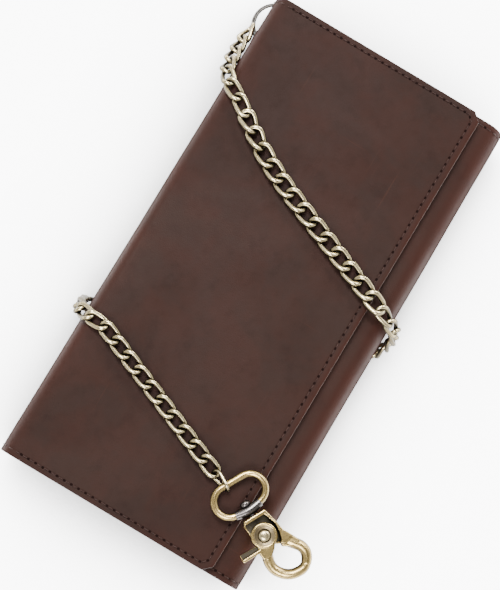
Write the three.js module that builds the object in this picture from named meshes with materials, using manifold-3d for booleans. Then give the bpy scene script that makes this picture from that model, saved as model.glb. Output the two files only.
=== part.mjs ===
// Long leather wallet with a fold-over flap, a curb chain wound round it, a split ring and a trigger snap.
// Millimetres, +Z up, +X from the folded spine to the closed right fold, +Y towards the end that carries the ring.
// Z = 0 is the surface the wallet lies on: the stretch of chain behind the wallet rests on it.
import * as THREE from 'three';
import { mergeVertices, mergeGeometries } from 'three/addons/utils/BufferGeometryUtils.js';
import Module from 'manifold-3d';

const wasm = await Module();
wasm.setup();

// ---------- driving dimensions ----------
const HALF_W = 48;             // spine to middle; the wallet is 96 wide
const HALF_L = 95;             // the wallet is 190 long
const LEATHER = 1.6;           // outer leather
const FRONT_TOP = 22.0;        // top of the front wall above the back's outer face
const FLAP_TOP = 25.8;         // top of the closed flap above the back's outer face
const FLAP_EDGE = 35.3;        // free edge of the flap
const FLAP_START = -40.0;      // where the flap panel begins, after the fold
const FLAP_CHAMFER = 3.0;
const MOUTH = -36;             // mouth edge of the front wall
const SPINE_TOP = 17.6;        // height at which the spine hands over to the fold
const R_SPINE = 5;             // outer radius of the spine's two corners
const R_RIGHT = 7;             // outer radius of the right fold's two corners
const CHAIN_T = 3.0;           // thickness of the wound chain, lying flat
const CHAIN_W = 5.5;           // width of the chain
const WIRE = 1.45;             // wire of a link
const PITCH = 6.43;            // pitch of the chain
const RING = [-44.3, 88.6, 9.5];
const RING_R = 8.2, RING_WIRE = 0.6;
const EYELET = [-48, 80.93, 9.5];
const CLIP = [36.75, -69.25, 28.9];      // middle of the swivel barrel
const CLIP_SCALE = 0.96;                 // the snap's own outlines below, times this
const CLIP_ANGLE = Math.atan2(-0.469, 0.883);
const RIVET_U = 10.4;
const CHAIN_DIR = [0.926, -0.377];
const CHAIN_START = [-33.3, -42.4];      // where the first free link hangs on the link before it
const SNAP = [[28.5, 55], [28.5, -55]];
// moves the frame to the middle of the whole object's box, at the height of the surface it lies on
const SHIFT = [-5.2284, -1.1772, 3.3];

// ---------- helpers ----------
const group = new THREE.Group();
const bodyGroup = new THREE.Group();
bodyGroup.position.set(...SHIFT);
group.add(bodyGroup);
const clip = new THREE.Group();
clip.position.set(...CLIP);
clip.rotation.z = CLIP_ANGLE;
bodyGroup.add(clip);

const materials = {
  leather: [0x4a342e, 0.62, 0], leatherEdge: [0x2c1d19, 0.7, 0], lining: [0x57413a, 0.75, 0], suede: [0x5b463c, 0.9, 0],
  brass: [0xb0a07a, 0.35, 1], steel: [0x55504a, 0.35, 1], darkBrass: [0x3a352c, 0.4, 1], zipBrass: [0xa88d55, 0.35, 1],
  tape: [0x2b211d, 0.9, 0], window: [0xdfe3e2, 0.1, 0], nickel: [0xb9b6ae, 0.3, 1],
};
function add(name, geometry, look, parent = bodyGroup) {
  if (parent === clip) geometry.scale(CLIP_SCALE, CLIP_SCALE, CLIP_SCALE);
  const [color, roughness, metalness] = materials[look];
  const mesh = new THREE.Mesh(geometry, new THREE.MeshStandardMaterial({ color, roughness, metalness }));
  mesh.name = name;
  parent.add(mesh);
  return mesh;
}
function clean(g) {
  const c = g.index ? g.clone() : g.clone();
  for (const k of Object.keys(c.attributes)) if (k !== 'position') c.deleteAttribute(k);
  return mergeVertices(c, 1e-4);
}
function solid(g) {
  const c = clean(g);
  return new wasm.Manifold(new wasm.Mesh({
    numProp: 3,
    vertProperties: new Float32Array(c.attributes.position.array),
    triVerts: new Uint32Array(c.index.array),
  }));
}
function back(m) {
  const r = m.getMesh();
  const g = new THREE.BufferGeometry();
  g.setAttribute('position', new THREE.BufferAttribute(new Float32Array(r.vertProperties), 3));
  g.setIndex(new THREE.BufferAttribute(new Uint32Array(r.triVerts), 1));
  return g;
}
const cut = (g, ...tools) => back(tools.reduce((m, t) => m.subtract(solid(t)), solid(g)));
const join = (...gs) => back(gs.slice(1).reduce((m, t) => m.add(solid(t)), solid(gs[0])));
function box(x0, x1, y0, y1, z0, z1) {
  const g = new THREE.BoxGeometry(x1 - x0, y1 - y0, z1 - z0);
  g.translate((x0 + x1) / 2, (y0 + y1) / 2, (z0 + z1) / 2);
  return g;
}
// a plan outline [[x, y], ...] raised from z0 to z1
function plate(points, z0, z1, holes = []) {
  const s = new THREE.Shape(points.map(([x, y]) => new THREE.Vector2(x, y)));
  for (const [hx, hy, r] of holes) {
    const h = new THREE.Path();
    h.absarc(hx, hy, r, 0, Math.PI * 2, true);
    s.holes.push(h);
  }
  const g = new THREE.ExtrudeGeometry(s, { depth: z1 - z0, bevelEnabled: false, curveSegments: 10 });
  g.translate(0, 0, z0);
  return g;
}
// a section [[x, z], ...] run along Y from y0 to y1
function along(points, y0, y1) {
  const s = new THREE.Shape(points.map(([x, z]) => new THREE.Vector2(x, z)));
  const g = new THREE.ExtrudeGeometry(s, { depth: y1 - y0, bevelEnabled: false });
  g.rotateX(Math.PI / 2);        // section up to XZ, depth towards -Y
  g.translate(0, y1, 0);
  return g;
}
function cylinder(r, from, to, sides = 20, r2 = r) {
  const a = new THREE.Vector3(...from), b = new THREE.Vector3(...to);
  const d = b.clone().sub(a);
  const g = new THREE.CylinderGeometry(r2, r, d.length(), sides);
  g.applyQuaternion(new THREE.Quaternion().setFromUnitVectors(new THREE.Vector3(0, 1, 0), d.clone().normalize()));
  g.translate(...a.add(b).multiplyScalar(0.5).toArray());
  return g;
}
function arc(cx, cz, r, a0, a1, n) {
  return Array.from({ length: n + 1 }, (_, i) => {
    const a = (a0 + (a1 - a0) * i / n) * Math.PI / 180;
    return [cx + r * Math.cos(a), cz + r * Math.sin(a)];
  });
}
// a closed or open sweep of a polygon section with given frames: rings[i] is a list of Vector3
function skin(rings, closed) {
  const n = rings.length, m = rings[0].length, pos = [], idx = [];
  for (const ring of rings) for (const p of ring) pos.push(p.x, p.y, p.z);
  const last = closed ? n : n - 1;
  for (let i = 0; i < last; i++) for (let j = 0; j < m; j++) {
    const a = i * m + j, b = i * m + (j + 1) % m, c = ((i + 1) % n) * m + j, d = ((i + 1) % n) * m + (j + 1) % m;
    idx.push(a, b, d, a, d, c);
  }
  if (!closed) {
    for (let j = 1; j < m - 1; j++) {
      idx.push(0, j + 1, j);
      const o = (n - 1) * m;
      idx.push(o, o + j, o + j + 1);
    }
  }
  const g = new THREE.BufferGeometry();
  g.setAttribute('position', new THREE.BufferAttribute(new Float32Array(pos), 3));
  g.setIndex(idx);
  // faces out: a positive volume
  let v = 0;
  const P = i => new THREE.Vector3(pos[3 * i], pos[3 * i + 1], pos[3 * i + 2]);
  for (let t = 0; t < idx.length; t += 3) v += P(idx[t]).dot(P(idx[t + 1]).cross(P(idx[t + 2])));
  if (v < 0) for (let t = 0; t < idx.length; t += 3) [idx[t], idx[t + 1]] = [idx[t + 1], idx[t]];
  g.setIndex(idx);
  return g;
}
// a round wire along a closed list of points
function wireLoop(points, r, sides = 8) {
  const n = points.length;
  const rings = [];
  let normal = null;
  for (let i = 0; i < n; i++) {
    const t = points[(i + 1) % n].clone().sub(points[(i + n - 1) % n]).normalize();
    const up = new THREE.Vector3(0, 0, 1);
    normal = up.clone().sub(t.clone().multiplyScalar(up.dot(t))).normalize();
    const side = t.clone().cross(normal);
    rings.push(Array.from({ length: sides }, (_, j) => {
      const a = (j + 0.5) / sides * Math.PI * 2;
      return points[i].clone().addScaledVector(normal, Math.cos(a) * r).addScaledVector(side, Math.sin(a) * r);
    }));
  }
  return skin(rings, true);
}
// a flat band of the chain's width and thickness along points [x, y, z]; the band lies with its thickness along the surface normal n
function band(points, normals, w = CHAIN_W, t = CHAIN_T) {
  const P = points.map(p => new THREE.Vector3(...p));
  const rings = P.map((p, i) => {
    const a = P[Math.max(i - 1, 0)], b = P[Math.min(i + 1, P.length - 1)];
    const dir = b.clone().sub(a).normalize();
    const n0 = new THREE.Vector3(...normals[i]);
    const n = n0.sub(dir.clone().multiplyScalar(n0.dot(dir))).normalize();
    const s = dir.clone().cross(n);
    return [[-1, -1], [1, -1], [1, 1], [-1, 1]].map(([u, v]) => p.clone().addScaledVector(s, u * w / 2).addScaledVector(n, v * t / 2));
  });
  return skin(rings, false);
}

// ---------- outer leather: spine, back, right fold and front wall in one sheet ----------
{
  const o = HALF_W, t = LEATHER;
  const outer = [
    [-o, SPINE_TOP], ...arc(-o + R_SPINE, R_SPINE, R_SPINE, 180, 270, 6),
    ...arc(o - R_RIGHT, R_RIGHT, R_RIGHT, 270, 360, 8), ...arc(o - R_RIGHT, FRONT_TOP - R_RIGHT, R_RIGHT, 0, 90, 8), [MOUTH, FRONT_TOP],
  ];
  const inner = [
    [MOUTH, FRONT_TOP - t], ...arc(o - R_RIGHT, FRONT_TOP - R_RIGHT, R_RIGHT - t, 90, 0, 8), ...arc(o - R_RIGHT, R_RIGHT, R_RIGHT - t, 0, -90, 8),
    ...arc(-o + R_SPINE, R_SPINE, R_SPINE - t, 270, 180, 6), [-o + t, SPINE_TOP],
  ];
  const hole = cylinder(2.55, [-o - 2, EYELET[1], EYELET[2]], [-o + t + 2, EYELET[1], EYELET[2]], 16);
  add('outer_cover', cut(along([...outer, ...inner], -HALF_L, HALF_L), hole), 'leather');

  // the fold between the spine and the flap, which bends as the flap opens
  const r = R_SPINE;
  add('flap_fold', along([
    [-o, SPINE_TOP + 0.3], ...arc(-o + r, FLAP_TOP - r, r, 180, 90, 6), [FLAP_START - 0.3, FLAP_TOP],
    [FLAP_START - 0.3, FLAP_TOP - t], ...arc(-o + r, FLAP_TOP - r, r - t, 90, 180, 6), [-o + t, SPINE_TOP + 0.3],
  ], -HALF_L, HALF_L), 'leather');
}

// ---------- flap ----------
{
  const c = FLAP_CHAMFER, e = FLAP_EDGE, l = HALF_L;
  add('flap_outer', plate([[FLAP_START, -l], [e - c, -l], [e, -l + c], [e, l - c], [e - c, l], [FLAP_START, l]], FLAP_TOP - LEATHER, FLAP_TOP), 'leather');
  const k = 1.2;
  add('flap_lining', plate([[FLAP_START + 1, -l + k], [e - c - k, -l + k], [e - k, -l + c + k], [e - k, l - c - k], [e - c - k, l - k], [FLAP_START + 1, l - k]],
    23.3, 23.9, SNAP.map(([x, y]) => [x, y, 5.4])), 'lining');
  SNAP.forEach(([x, y], i) => {
    const n = ['upper', 'lower'][i];
    add(`snap_socket_${n}`, cut(join(cylinder(5.0, [x, y, 23.2], [x, y, 23.9], 24)), cylinder(2.5, [x, y, 22], [x, y, 25], 16)), 'nickel');
    add(`snap_stud_${n}`, join(cylinder(4.6, [x, y, 22.3], [x, y, 22.85], 24), cylinder(2.0, [x, y, 22.7], [x, y, 23.7], 16)), 'nickel');
    add(`snap_washer_${n}`, cut(cylinder(4.2, [x, y, 18.5], [x, y, 19.1], 20), cylinder(1.4, [x, y, 18], [x, y, 20], 12)), 'nickel');
  });
}

// ---------- pouch ----------
add('back_lining', box(-41, 40, -92.5, 92.5, 1.9, 2.5), 'lining');
add('front_lining', box(MOUTH + 1, 40, -92.5, 92.5, 19.4, 20.1), 'lining');
add('gusset_upper', box(-35.5, 41, 91.0, 92.2, 2.9, 19.0), 'lining');
add('gusset_lower', box(-35.5, 41, -92.2, -91.0, 2.9, 19.0), 'lining');
add('zip_pocket_back', box(-33, 42, -90.6, 90.6, 7.2, 8.0), 'suede');
add('zip_pocket_front', box(-33, 42, -90.6, 90.6, 13.4, 14.2), 'suede');
add('zip_tape_back', box(-36.4, -27, -78, 78, 8.35, 8.85), 'tape');
add('zip_tape_front', box(-36.4, -27, -78, 78, 12.55, 13.05), 'tape');
// two rows of teeth standing on the tapes' edges; each row is one comb
{
  const comb = (z0, z1, offset, bar) => {
    const pts = [];
    const n = 60, step = 2.4, y0 = -n * step / 2 + offset;
    // outline in the YZ plane: a bar with square teeth
    const s = new THREE.Shape();
    const lo = bar < 0 ? z0 : z1, hi = bar < 0 ? z1 : z0;
    s.moveTo(y0, lo);
    const mid = lo + (hi - lo) * 0.35;
    s.lineTo(y0 + n * step, lo);
    s.lineTo(y0 + n * step, mid);
    for (let i = n - 1; i >= 0; i--) {
      const a = y0 + i * step;
      s.lineTo(a + 1.6, mid); s.lineTo(a + 1.6, hi); s.lineTo(a + 0.8, hi); s.lineTo(a + 0.8, mid);
    }
    s.lineTo(y0, mid);
    s.closePath();
    const g = new THREE.ExtrudeGeometry(s, { depth: 1.3, bevelEnabled: false });
    // (y, z, depth) to (x, y, z)
    g.applyMatrix4(new THREE.Matrix4().set(0, 0, 1, -38.0, 1, 0, 0, 0, 0, 1, 0, 0, 0, 0, 0, 1));
    return g;
  };
  add('zip_teeth_back', comb(8.4, 11.2, 0, -1), 'zipBrass');
  add('zip_teeth_front', comb(10.2, 13.0, 1.2, 1), 'zipBrass');
}
add('zip_stop_upper', box(-38.6, -36.6, 73.8, 75.4, 9.0, 12.4), 'zipBrass');
add('zip_stop_lower', box(-38.6, -36.6, -75.4, -73.8, 9.0, 12.4), 'zipBrass');
// slider: two wings joined by a bridge, round the teeth
{
  const y = 68;
  const shell = box(-39.6, -36.3, y - 4.2, y + 4.2, 7.9, 13.5);
  const tunnel = box(-39.0, -35.5, y - 5, y + 5, 8.2, 13.2);
  const ear = box(-41.4, -39.3, y - 1.0, y + 1.0, 8.6, 12.8);
  const eye = box(-40.8, -39.9, y - 2, y + 2, 9.6, 11.8);
  add('zip_slider', cut(join(cut(shell, tunnel), ear), eye), 'zipBrass');
  // pull tab: hangs through the ear and lies along the zip
  const tab = plate([[0, -1.6], [13, -2.4], [15, -1.2], [15, 1.2], [13, 2.4], [0, 1.6]], -0.35, 0.35, [[11.5, 0, 1.2]]);
  const win = box(1.0, 3.4, -0.0, 0.0001, -1, 1);
  tab.rotateX(Math.PI / 2);
  tab.rotateZ(-Math.PI / 2);
  tab.translate(-40.35, y - 2.2, 10.7);
  const pin = box(-40.6, -40.1, y - 3.0, y + 1.5, 10.35, 11.05);
  add('zip_pull', join(tab, pin), 'zipBrass');
}

// ---------- what the open flap shows on the front wall ----------
add('card_slot_first', plate([[-34.5, 3], [-24.2, 3], [-24.2, 92], [-34.5, 92]], 22.3, 22.9), 'leather');
add('card_slot_second', plate([[-23.9, 3], [-13.6, 3], [-13.6, 92], [-23.9, 92]], 22.3, 22.9), 'leather');
add('card_slot_third', plate([[-13.3, 3], [21.0, 3], [21.0, 92], [-13.3, 92]], 22.3, 22.9), 'leather');
{
  const s = new THREE.Shape([[-34.5, -92], [21.0, -92], [21.0, -3], [-34.5, -3]].map(([x, y]) => new THREE.Vector2(x, y)));
  const h = new THREE.Path([[-28, -83], [-28, -12], [14.5, -12], [14.5, -83]].map(([x, y]) => new THREE.Vector2(x, y)));
  s.holes.push(h);
  const g = new THREE.ExtrudeGeometry(s, { depth: 0.6, bevelEnabled: false });
  g.translate(0, 0, 22.3);
  add('id_window_frame', g, 'leather');
  add('id_window', box(-27.7, 14.2, -82.7, -12.3, 22.35, 22.65), 'window');
}

// ---------- eyelet and ring ----------
{
  const [x, y, z] = EYELET;
  const a = cut(join(cylinder(3.9, [x - 0.95, y, z], [x - 0.3, y, z], 20), cylinder(2.2, [x - 0.5, y, z], [x + 2.6, y, z], 16)), cylinder(1.85, [x - 3, y, z], [x + 4, y, z], 16));
  add('eyelet_barrel', a, 'darkBrass');
  const b = cut(cylinder(3.9, [x + LEATHER + 0.3, y, z], [x + LEATHER + 0.8, y, z], 20), cylinder(2.5, [x, y, z], [x + 4, y, z], 16));
  add('eyelet_washer', b, 'darkBrass');
}
add('split_ring', wireLoop(Array.from({ length: 32 }, (_, i) => {
  const a = i / 32 * Math.PI * 2;
  return new THREE.Vector3(RING[0] + RING_R * Math.cos(a), RING[1] + RING_R * Math.sin(a), RING[2]);
}), RING_WIRE, 8), 'steel');

// ---------- chain ----------
// One curb link: a stretched oval whose plane turns as it goes from one end to the other.
function curbLink(rollA, rollB, halfWidth = (CHAIN_W - WIRE) / 2, wire = WIRE, inner = PITCH + 0.3) {
  const a = inner / 2 + wire / 2, b = halfWidth, s = a - b;
  const pts = [];
  const nArc = 8, nStraight = 2;
  for (let i = 0; i <= nArc; i++) { const t = -Math.PI / 2 + Math.PI * i / nArc; pts.push([s + b * Math.cos(t), b * Math.sin(t)]); }
  for (let i = 1; i < nStraight; i++) pts.push([s - 2 * s * i / nStraight, b]);
  for (let i = 0; i <= nArc; i++) { const t = Math.PI / 2 + Math.PI * i / nArc; pts.push([-s + b * Math.cos(t), b * Math.sin(t)]); }
  for (let i = 1; i < nStraight; i++) pts.push([-s + 2 * s * i / nStraight, -b]);
  const P = pts.map(([x, y]) => {
    const f = Math.min(Math.max((x + a * 0.95) / (2 * a * 0.95), 0), 1);
    const r = rollA + (rollB - rollA) * f;
    return new THREE.Vector3(x, y * Math.cos(r), y * Math.sin(r));
  });
  // rings of wire
  const n = P.length, sides = 8, rings = [];
  for (let i = 0; i < n; i++) {
    const t = P[(i + 1) % n].clone().sub(P[(i + n - 1) % n]).normalize();
    const f = Math.min(Math.max((P[i].x + a * 0.95) / (2 * a * 0.95), 0), 1);
    const r = rollA + (rollB - rollA) * f;
    const up = new THREE.Vector3(0, -Math.sin(r), Math.cos(r));
    const nn = up.sub(t.clone().multiplyScalar(up.dot(t))).normalize();
    const sd = t.clone().cross(nn);
    rings.push(Array.from({ length: sides }, (_, j) => {
      const w = (j + 0.5) / sides * Math.PI * 2;
      return P[i].clone().addScaledVector(nn, Math.cos(w) * wire / 2).addScaledVector(sd, Math.sin(w) * wire / 2);
    }));
  }
  return skin(rings, true);
}
const onFlap = FLAP_TOP + 0.35 + CHAIN_T / 2 + 0.15;     // middle height of a link lying on the flap
const R45 = Math.PI / 4;
const heading = Math.atan2(CHAIN_DIR[1], CHAIN_DIR[0]);
const linkGroup = new THREE.Group();
linkGroup.position.set(CHAIN_START[0], CHAIN_START[1], onFlap);
linkGroup.rotation.z = heading;
bodyGroup.add(linkGroup);
for (let i = 0; i <= 10; i++) {
  const last = i === 10;
  const g = last ? curbLink(R45, Math.PI * 0.47, 2.0, 1.4, PITCH + 0.35) : curbLink(R45, -R45);
  if (last) g.rotateY(-Math.asin(1.1 / 9));
  g.translate((i - 0.5) * PITCH, 0, last ? 0.68 : 0);
  add(`chain_link_${String(i).padStart(2, '0')}`, g, 'brass', linkGroup);
}

// the wound part, one plain band for each stretch
const up = [0, 0, 1], left = [-1, 0, 0], right = [1, 0, 0], down = [0, 0, -1];
add('chain_run_spine', band(
  [[-52.4, 79.5, 11.0], [-52.4, 75.8, 13.0], [-52.2, 72.0, 15.5], [-51.6, 67.6, 18.8], [-50.8, 63.6, 21.9], [-49.3, 60.2, 24.9], [-46.6, 57.6, 27.1], [-43.2, 55.6, onFlap + 0.1], [-40.4, 53.9, onFlap]],
  [left, left, left, left, [-1, 0, 0.25], [-0.9, 0, 0.5], [-0.6, 0, 0.8], [-0.1, 0, 1], up]), 'brass');
add('chain_run_upper', band(
  [[-40.0, 53.7, onFlap], [-37.0, 51.4, onFlap], [-31.0, 47.1, onFlap], [-23.9, 42.2, onFlap], [-14.8, 37.2, onFlap], [-5.9, 33.3, onFlap], [14.0, 25.4, onFlap], [32.0, 18.2, onFlap]],
  [up, up, up, up, up, up, up, up]), 'brass');
add('chain_run_right', band(
  [[32.6, 18.0, onFlap], [38.8, 15.6, 27.2], [43.4, 14.0, 25.4], [48.2, 12.5, 21.4], [50.9, 11.5, 16.5], [51.4, 9.8, 11.0], [51.0, 7.6, 5.6], [49.4, 5.0, 1.2], [46.6, 2.6, -1.2], [43.8, 1.2, -1.8]],
  [up, [0.2, 0, 1], [0.5, 0, 1], [1, 0, 0.7], [1, 0, 0.2], right, [1, 0, -0.2], [1, 0, -0.7], [0.4, 0, -1], down]), 'brass');
add('chain_run_behind', band([[43.2, 0.95, -1.8], [-44.6, -32.55, -1.8]], [down, down]), 'brass');
add('chain_run_left', band(
  [[-45.2, -32.8, -1.8], [-48.4, -33.9, -0.9], [-51.0, -34.8, 2.4], [-51.6, -35.4, 8.5], [-51.6, -36.5, 14.5], [-50.9, -38.2, 20.5], [-48.6, -39.2, 25.0], [-45.0, -39.8, 27.4], [-42.2, -40.1, onFlap]],
  [down, [-0.6, 0, -1], [-1, 0, -0.4], left, left, [-1, 0, 0.2], [-0.8, 0, 0.6], [-0.3, 0, 1], up]), 'brass');

// ---------- swivel trigger snap, in its own plane: u from the swivel to the hook, v to its left ----------
const smooth = (pts, n, closed = true) => {
  const c = new THREE.CatmullRomCurve3(pts.map(([x, y]) => new THREE.Vector3(x, y, 0)), closed, 'centripetal');
  const p = c.getPoints(n);
  if (closed) p.pop();
  return p;
};
// eye: an oval loop of round wire with a barrel across its near side
{
  const r = 1.15;
  const mid = [];
  const hw = 5.6, ce = 4.35, cu = -6.4;     // end radius, offset of the ends, middle of the oval along u
  for (let i = 0; i <= 10; i++) { const a = (-90 + 180 * i / 10) * Math.PI / 180; mid.push(new THREE.Vector3(cu - hw * Math.sin(a), ce + hw * Math.cos(a), 0)); }
  for (let i = 0; i <= 10; i++) { const a = (90 + 180 * i / 10) * Math.PI / 180; mid.push(new THREE.Vector3(cu - hw * Math.sin(a), -ce + hw * Math.cos(a), 0)); }
  const loop = wireLoop(mid, r, 8);
  const barrel = cylinder(2.35, [-1.55, 0, 0], [2.0, 0, 0], 16);
  const shoulder = cylinder(1.5, [-0.2, -5.6, 0], [-0.2, 5.6, 0], 10);
  const bore = cylinder(1.25, [-4, 0, 0], [4, 0, 0], 12);
  add('swivel_eye', cut(join(loop, barrel, shoulder), bore), 'brass', clip);
  add('swivel_post', join(cylinder(0.9, [-2.6, 0, 0], [2.9, 0, 0], 12), cylinder(1.9, [-3.7, 0, 0], [-2.0, 0, 0], 14)), 'steel', clip);
}
// hook body: neck, base plate under the trigger, side wall and the fixed jaw
{
  const neck = plate([[2.35, -3.9], [2.35, 4.9], [4.6, 5.5], [6.2, 5.9], [6.2, -4.4], [4.6, -4.4]], -3.0, 2.7);
  const base = plate([[4.0, -4.4], [4.0, 5.5], [8.5, 6.4], [11.9, 6.9], [15.2, 6.4], [15.9, 3.3], [12.6, -3.0], [10.4, -4.3]], -3.0, -1.1);
  const wall = plate([[4.6, 5.5], [8.5, 6.4], [11.9, 6.9], [15.4, 8.9], [16.6, 5.4], [15.8, 3.6], [14.6, 4.6], [11.5, 5.3], [8.5, 5.3], [5.0, 4.5]], -3.0, 2.5);
  const jaw = plate([[14.4, 8.4], [15.4, 9.3], [20.2, 11.4], [22.6, 11.7], [24.6, 11.1], [26.4, 10.2], [27.5, 9.1], [25.2, 7.0], [24.7, 7.5], [23.7, 7.9], [22.2, 8.0], [20.7, 7.5], [18.4, 5.3], [16.8, 3.3], [15.2, 4.2]], -2.2, 2.2);
  const pocket = cylinder(1.35, [RIVET_U, 0, -4], [RIVET_U, 0, 4], 14);
  const postHole = cylinder(1.2, [1, 0, 0], [3.3, 0, 0], 12);
  const hollow = cylinder(5.2, [RIVET_U, 0, -1.1], [RIVET_U, 0, 4], 28);
  add('hook_body', cut(join(neck, base, wall, jaw), pocket, postHole, hollow), 'brass', clip);
}
// trigger: hub disc, thumb lever and the moving half of the hook in one casting
{
  const hub = cylinder(4.8, [RIVET_U, 0, 0.2], [RIVET_U, 0, 2.4], 28);
  const arm = plate([[12.1, -3.9], [13.6, -4.3], [15.6, -4.9], [17.5, -4.4], [19.8, -4.9], [22.4, -4.7], [25.5, -3.1], [27.7, -0.6], [29.1, 2.4], [29.2, 5.9], [28.1, 8.4],
    [25.8, 6.6], [26.2, 3.6], [25.1, 0.7], [22.7, -1.4], [19.7, -1.7], [17.7, -0.9], [16.4, 0.9], [14.9, 1.9], [13.2, 3.2]].reverse(), -2.2, 2.2);
  const step = cylinder(5.6, [RIVET_U, 0, -5], [RIVET_U, 0, 0.1], 28);           // keeps the casting off the base plate
  const basePlateRoom = plate([[4, -6], [4, 8], [15.9, 8], [16.6, 3.0], [13.1, -3.6], [12.2, -6]], -4, -0.7);
  const thumb = plate([[11.9, -11.1], [14.9, -11.2], [14.8, -4.3], [12.4, -3.4]], 0.1, 2.6);
  const hole = cylinder(1.45, [RIVET_U, 0, -4], [RIVET_U, 0, 4], 14);
  add('trigger_claw', cut(join(hub, cut(arm, step, basePlateRoom), thumb), hole), 'brass', clip);
  add('trigger_rivet', join(cylinder(1.05, [RIVET_U, 0, -3.4], [RIVET_U, 0, 2.9], 12), cylinder(2.1, [RIVET_U, 0, 2.7], [RIVET_U, 0, 3.3], 16, 1.5), cylinder(1.5, [RIVET_U, 0, -3.6], [RIVET_U, 0, -3.3], 14)), 'brass', clip);
  // torsion spring under the hub: one and a half turns of wire with two short legs
  const turns = 1.6, n = 26, pts = [];
  for (let i = 0; i <= n; i++) { const a = i / n * turns * Math.PI * 2; pts.push(new THREE.Vector3(RIVET_U + 2.6 * Math.cos(a), 2.6 * Math.sin(a), -0.78 + 0.62 * i / n)); }
  const path = new THREE.CatmullRomCurve3(pts);
  const sec = new THREE.Shape(Array.from({ length: 6 }, (_, i) => new THREE.Vector2(0.17 * Math.cos(i * Math.PI / 3), 0.17 * Math.sin(i * Math.PI / 3))));
  add('trigger_spring', new THREE.ExtrudeGeometry(sec, { steps: 48, extrudePath: path, bevelEnabled: false }), 'steel', clip);
}

export default group;
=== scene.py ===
import math
import random

import bmesh
import bpy
import numpy as np
from mathutils import Matrix, Vector, noise


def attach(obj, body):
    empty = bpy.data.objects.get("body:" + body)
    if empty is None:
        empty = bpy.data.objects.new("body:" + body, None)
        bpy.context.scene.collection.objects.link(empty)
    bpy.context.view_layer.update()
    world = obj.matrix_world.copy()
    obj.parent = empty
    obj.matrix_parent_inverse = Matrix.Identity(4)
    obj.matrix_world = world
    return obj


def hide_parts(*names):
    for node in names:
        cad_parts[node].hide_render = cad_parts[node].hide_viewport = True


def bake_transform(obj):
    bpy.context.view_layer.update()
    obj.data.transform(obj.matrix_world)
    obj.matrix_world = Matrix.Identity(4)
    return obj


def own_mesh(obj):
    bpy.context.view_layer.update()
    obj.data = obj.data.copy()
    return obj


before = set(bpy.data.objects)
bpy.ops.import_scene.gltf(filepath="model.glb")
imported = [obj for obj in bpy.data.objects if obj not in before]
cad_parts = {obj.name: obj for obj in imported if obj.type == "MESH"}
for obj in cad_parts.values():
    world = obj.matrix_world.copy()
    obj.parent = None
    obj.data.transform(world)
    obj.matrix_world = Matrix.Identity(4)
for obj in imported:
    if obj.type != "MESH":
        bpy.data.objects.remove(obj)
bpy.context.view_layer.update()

random.seed(7)

# ---------------------------------------------------------------- frame
SH = Vector((-5.2284, -1.1772, 3.3))      # wallet's own millimetre frame to the row frame


def W(x, y, z):
    return Vector(((x + SH.x) / 1000, (y + SH.y) / 1000, (z + SH.z) / 1000))


HALF_W, HALF_L, LEATHER = 48.0, 95.0, 1.6
FLAP_TOP, FRONT_TOP, EDGE = 25.8, 22.0, 35.3
# the flap's free edge as it lies in the photo: a little past the nominal line, more so at the +y end
EDGE_ON, EDGE_SLOPE = 1.7, 0.0075


def edge_x(y):
    return EDGE + EDGE_ON + EDGE_SLOPE * y


SEAM_Z = 17.6
R_SPINE, R_RIGHT = 5.0, 7.0
MOUTH = -36.0
PITCH, WIRE, CHAIN_W = 6.43, 1.64, 5.88

# ---------------------------------------------------------------- camera
cam_data = bpy.data.cameras.new("camera")
cam = bpy.data.objects.new("camera", cam_data)
bpy.context.scene.collection.objects.link(cam)
cam_data.sensor_fit = "HORIZONTAL"
cam_data.sensor_width = 36.0
cam_data.lens = 1620.504 * 36 / 500
cam_data.clip_start = 0.01
cx = Vector((0.8580492, 0.50954, 0.0641919)); cy = Vector((-0.5135586, 0.8505694, 0.1130895)); cz = Vector((0.003024, -0.1300026, 0.991509))
cam.matrix_world = Matrix(((cx.x, cy.x, cz.x, -0.0046646), (cx.y, cy.y, cz.y, -0.0796315), (cx.z, cy.z, cz.z, 0.5949054), (0, 0, 0, 1)))
bpy.context.scene.camera = cam


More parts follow.
